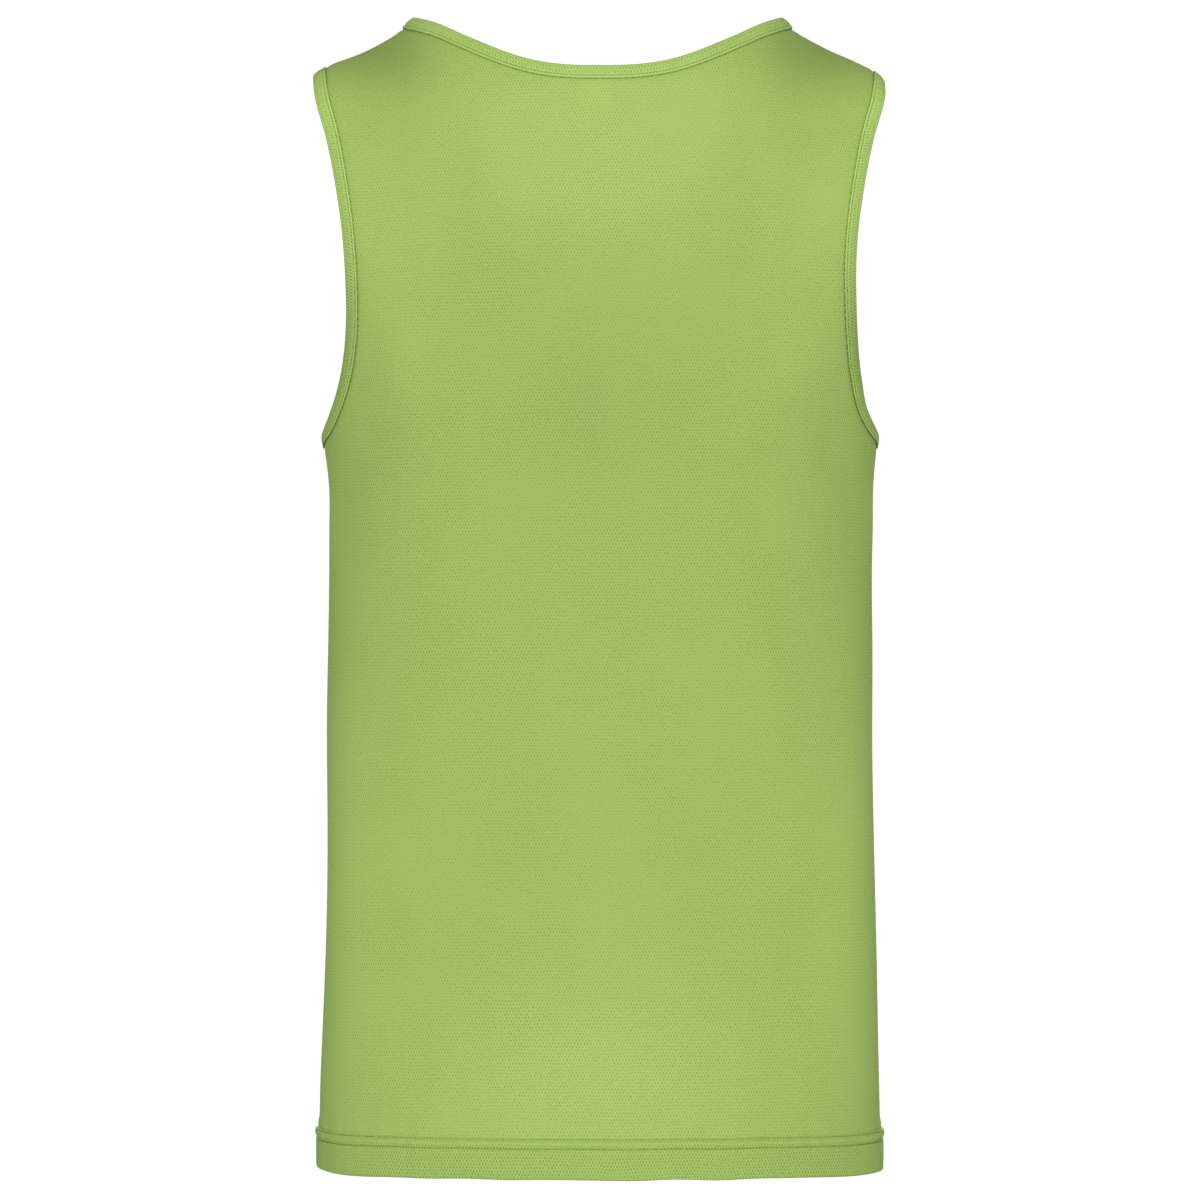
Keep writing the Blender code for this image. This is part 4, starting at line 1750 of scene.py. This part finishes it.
@dataclass(frozen=True)
class Studio:
    """A white paper bowl, soft lights and the camera, which looks level at the garment's back.

    Attributes:
        floor: The floor's height, in metres, under a garment worn by someone of usual height.
        radius: Of the flat floor.
        sweep: The radius of the curve from floor to wall.
        wall: The wall's height.
        distance: From the camera to the origin.
        eye: The camera's height.
        lens: Its focal length, in millimetres, for a 36 mm sensor.
        sky: The strength of the light from all round.
        lamps_away: From each of the two lamps to the garment, towards -Y and +Y.
        lamps_up: The lamps' height.
        lamp_width: The width of a lamp's soft face.
        lamp_height: The height of that face.
        key: The main light's power, in watts.
        back_key: The power of the one opposite.
    """

    floor: float = -1.42
    radius: float = 6.2
    sweep: float = 1.6
    wall: float = 4.0
    distance: float = 4.6
    eye: float = -0.3403
    lens: float = 220.8
    sky: float = 0.45
    lamps_away: float = 5.2
    lamps_up: float = 0.25
    lamp_width: float = 2.6
    lamp_height: float = 2.0
    key: float = 150.0
    back_key: float = 140.0

    def backdrop(self) -> None:
        """Turns the paper bowl round its axis."""
        form = bmesh.new()
        corner = [
            (self.radius + self.sweep * math.sin(a), self.floor + self.sweep * (1 - math.cos(a)))
            for a in np.linspace(0, math.pi / 2, 12)
        ]
        wall_top = (corner[-1][0], self.floor + self.wall)
        outline = [(0.0, self.floor), (self.radius / 2, self.floor), *corner, wall_top]
        verts = [form.verts.new((r, 0.0, z)) for r, z in outline]
        edges = [form.edges.new(pair) for pair in zip(verts, verts[1:])]
        bmesh.ops.spin(
            form, geom=verts + edges, axis=(0, 0, 1), cent=(0, 0, 0), angle=2 * math.pi, steps=72,
            use_merge=True,
        )
        bmesh.ops.remove_doubles(form, verts=form.verts, dist=1e-5)
        bmesh.ops.recalc_face_normals(form, faces=form.faces)
        mesh = as_mesh(form, "studio_paper")
        mesh.shade_smooth()
        mesh.materials.append(StudioPaper().material())
        paper = bpy.data.objects.new("studio_paper", mesh)
        paper.visible_diffuse = False
        paper.visible_glossy = False
        paper.visible_shadow = False
        bpy.context.scene.collection.objects.link(paper)

    def lamp(self, name: str, y: float, power: float) -> None:
        """Hangs a soft light that faces the garment.

        Args:
            name: Its name.
            y: Where it hangs, towards +Y.
            power: Its power, in watts.
        """
        data = bpy.data.lights.new(name, "AREA")
        data.shape = "RECTANGLE"
        data.energy = power
        data.size, data.size_y = self.lamp_width, self.lamp_height
        lamp = bpy.data.objects.new(name, data)
        lamp.location = (0.0, y, self.lamps_up)
        aim = Vector((0.0, 0.0, self.eye)) - lamp.location
        lamp.rotation_euler = aim.to_track_quat("-Z", "Y").to_euler()
        lamp.visible_camera = False
        bpy.context.scene.collection.objects.link(lamp)

    def build(self) -> None:
        """Makes the bowl, the lights and the camera."""
        scene = bpy.context.scene
        self.backdrop()
        self.lamp("front_softbox", -self.lamps_away, self.key)
        self.lamp("back_softbox", self.lamps_away, self.back_key)
        world = bpy.data.worlds.new("soft_daylight")
        world.use_nodes = True
        sky = world.node_tree.nodes["Background"]
        feed(world.node_tree, sky, {"Color": linear("FFFFFF"), "Strength": self.sky})
        scene.world = world
        scene.view_settings.view_transform = "Standard"
        data = bpy.data.cameras.new("camera")
        data.sensor_width = 36.0
        data.lens = self.lens
        camera = bpy.data.objects.new("camera", data)
        camera.location = (0.0, -self.distance, self.eye)
        camera.rotation_euler = (math.pi / 2, 0.0, 0.0)
        scene.collection.objects.link(camera)
        scene.camera = camera


BACK_FORM = PanelForm(
    side=Side.BACK, arch_power=2.4, arm_turn=36.2, arm_scoop=-1.2, arm_power=7.7,
    neck_level=140.7, neck_turn=60.8, neck_power=2.14,
)
FRONT_FORM = PanelForm(
    side=Side.FRONT, arch_power=1.5, arm_turn=36.2, arm_scoop=5.0, arm_power=5.0,
    neck_level=74.0, neck_turn=60.8, neck_power=2.4,
)


def panel_knit(side: str, label: ShowThrough | None) -> bpy.types.Material:
    """The knit of a panel, whose real dimples are about 1.3 mm apart and are drawn coarser so that they show.

    Args:
        side: Which panel it is for.
        label: Where a label shows through, if one does.

    Returns:
        The material.
    """
    # The hem's two rows of stitches get painted shade in their grooves.
    hem_groove_shades = tuple(ShadeBand(HEM_LEVEL + over_fold, half=0.34, lighter=-0.36) for over_fold in HEM.rows)
    return PiqueKnit(
        f"lime_pique_knit_{side}", face="A9C56B", pit_shade="93B157", pitch=1.9, rows=4.0, depth=0.14,
        shade_bands=hem_groove_shades, label=label,
    ).material()


def strip_knit(edge: str, fold: BindingFold, border: float, lip: float, groove: float) -> bpy.types.Material:
    """The knit of a strip, whose real dimples are 1.5 mm apart and are drawn coarser so that they show.

    Args:
        edge: Which edge it is for.
        fold: The strip's sizes.
        border: The share by which painted shade in its border's crevice makes it lighter, darker if negative.
        lip: That of the painted highlight on its rolled lip.
        groove: That of the painted shade in the groove of its stitching.

    Returns:
        The material.
    """
    shade_bands = (
        ShadeBand(0.1, half=0.35, lighter=border),
        ShadeBand(fold.stitch_run / 2, half=0.3, lighter=lip),
        ShadeBand(fold.stitch_run, half=0.38, lighter=groove),
    )
    return PiqueKnit(
        f"lime_binding_knit_{edge}", face="ADCB70", pit_shade="91B156", pitch=2.0, rows=5.0, depth=0.18,
        shade_bands=shade_bands, wander=0.4,
    ).material()


def report(piece: bpy.types.Object) -> None:
    """Logs a piece's name and the size of its mesh, before modifiers."""
    LOG.info("%s: %d faces", piece.name, len(piece.data.polygons))


def main() -> None:
    """Builds the garment and the studio, and reports each piece."""
    logging.basicConfig(level=logging.INFO, format="%(message)s")
    knits = (panel_knit("back", ShowThrough()), panel_knit("front", None))
    # The strips get painted shade in the border's crevice and the stitch groove, and a painted highlight on
    # the lip.
    neck_knit = strip_knit("neck", NECK_BINDING, border=-0.48, lip=0.06, groove=-0.42)
    armhole_knit = strip_knit("armhole", ARMHOLE_BINDING, border=-0.38, lip=0.2, groove=-0.58)
    thread = SewingThread("lime_sewing_thread", "98B75C").material()
    satin = LabelSatin("plain_label_satin", "BCD48C").material()

    panels = (
        BodyPanel(
            "back_cloth", "back_panel", BACK_FORM, cut_width=462.0, cut_length=782.0, cut_area=0.306
        ),
        BodyPanel(
            "front_cloth", "front_panel", FRONT_FORM, cut_width=478.0, cut_length=778.0, cut_area=0.293
        ),
    )
    for panel, knit in zip(panels, knits):
        piece = panel.build(knit)
        stitches = sewn(f"{panel.name}_hem_stitches", panel.hem_stitches(), thread, Slot.BODY)
        report(piece)
        report(stitches)

    neck_halves = (
        (BACK_FORM, 1, False), (BACK_FORM, -1, True), (FRONT_FORM, -1, False), (FRONT_FORM, 1, True),
    )
    neck = Binding("neck_edge_binding", "neck_binding", neck_halves, at_neck=True, seed=21)
    right, left = (
        Binding(
            f"armhole_edge_binding_{name}", f"armhole_binding_{name}",
            ((BACK_FORM, half, True), (FRONT_FORM, half, False)),
            at_neck=False, seed=seed, fold=ARMHOLE_BINDING, seam_bulk=0.25,
        )
        for name, half, seed in (("right", 1, 22), ("left", -1, 23))
    )
    for binding, knit in ((neck, neck_knit), (right, armhole_knit), (left, armhole_knit)):
        report(binding.build(knit, thread))
    report(NeckLabel("blank_neck_label", "neck_label", BACK_FORM).build(satin))
    Studio().build()


if __name__ == "__main__":
    main()
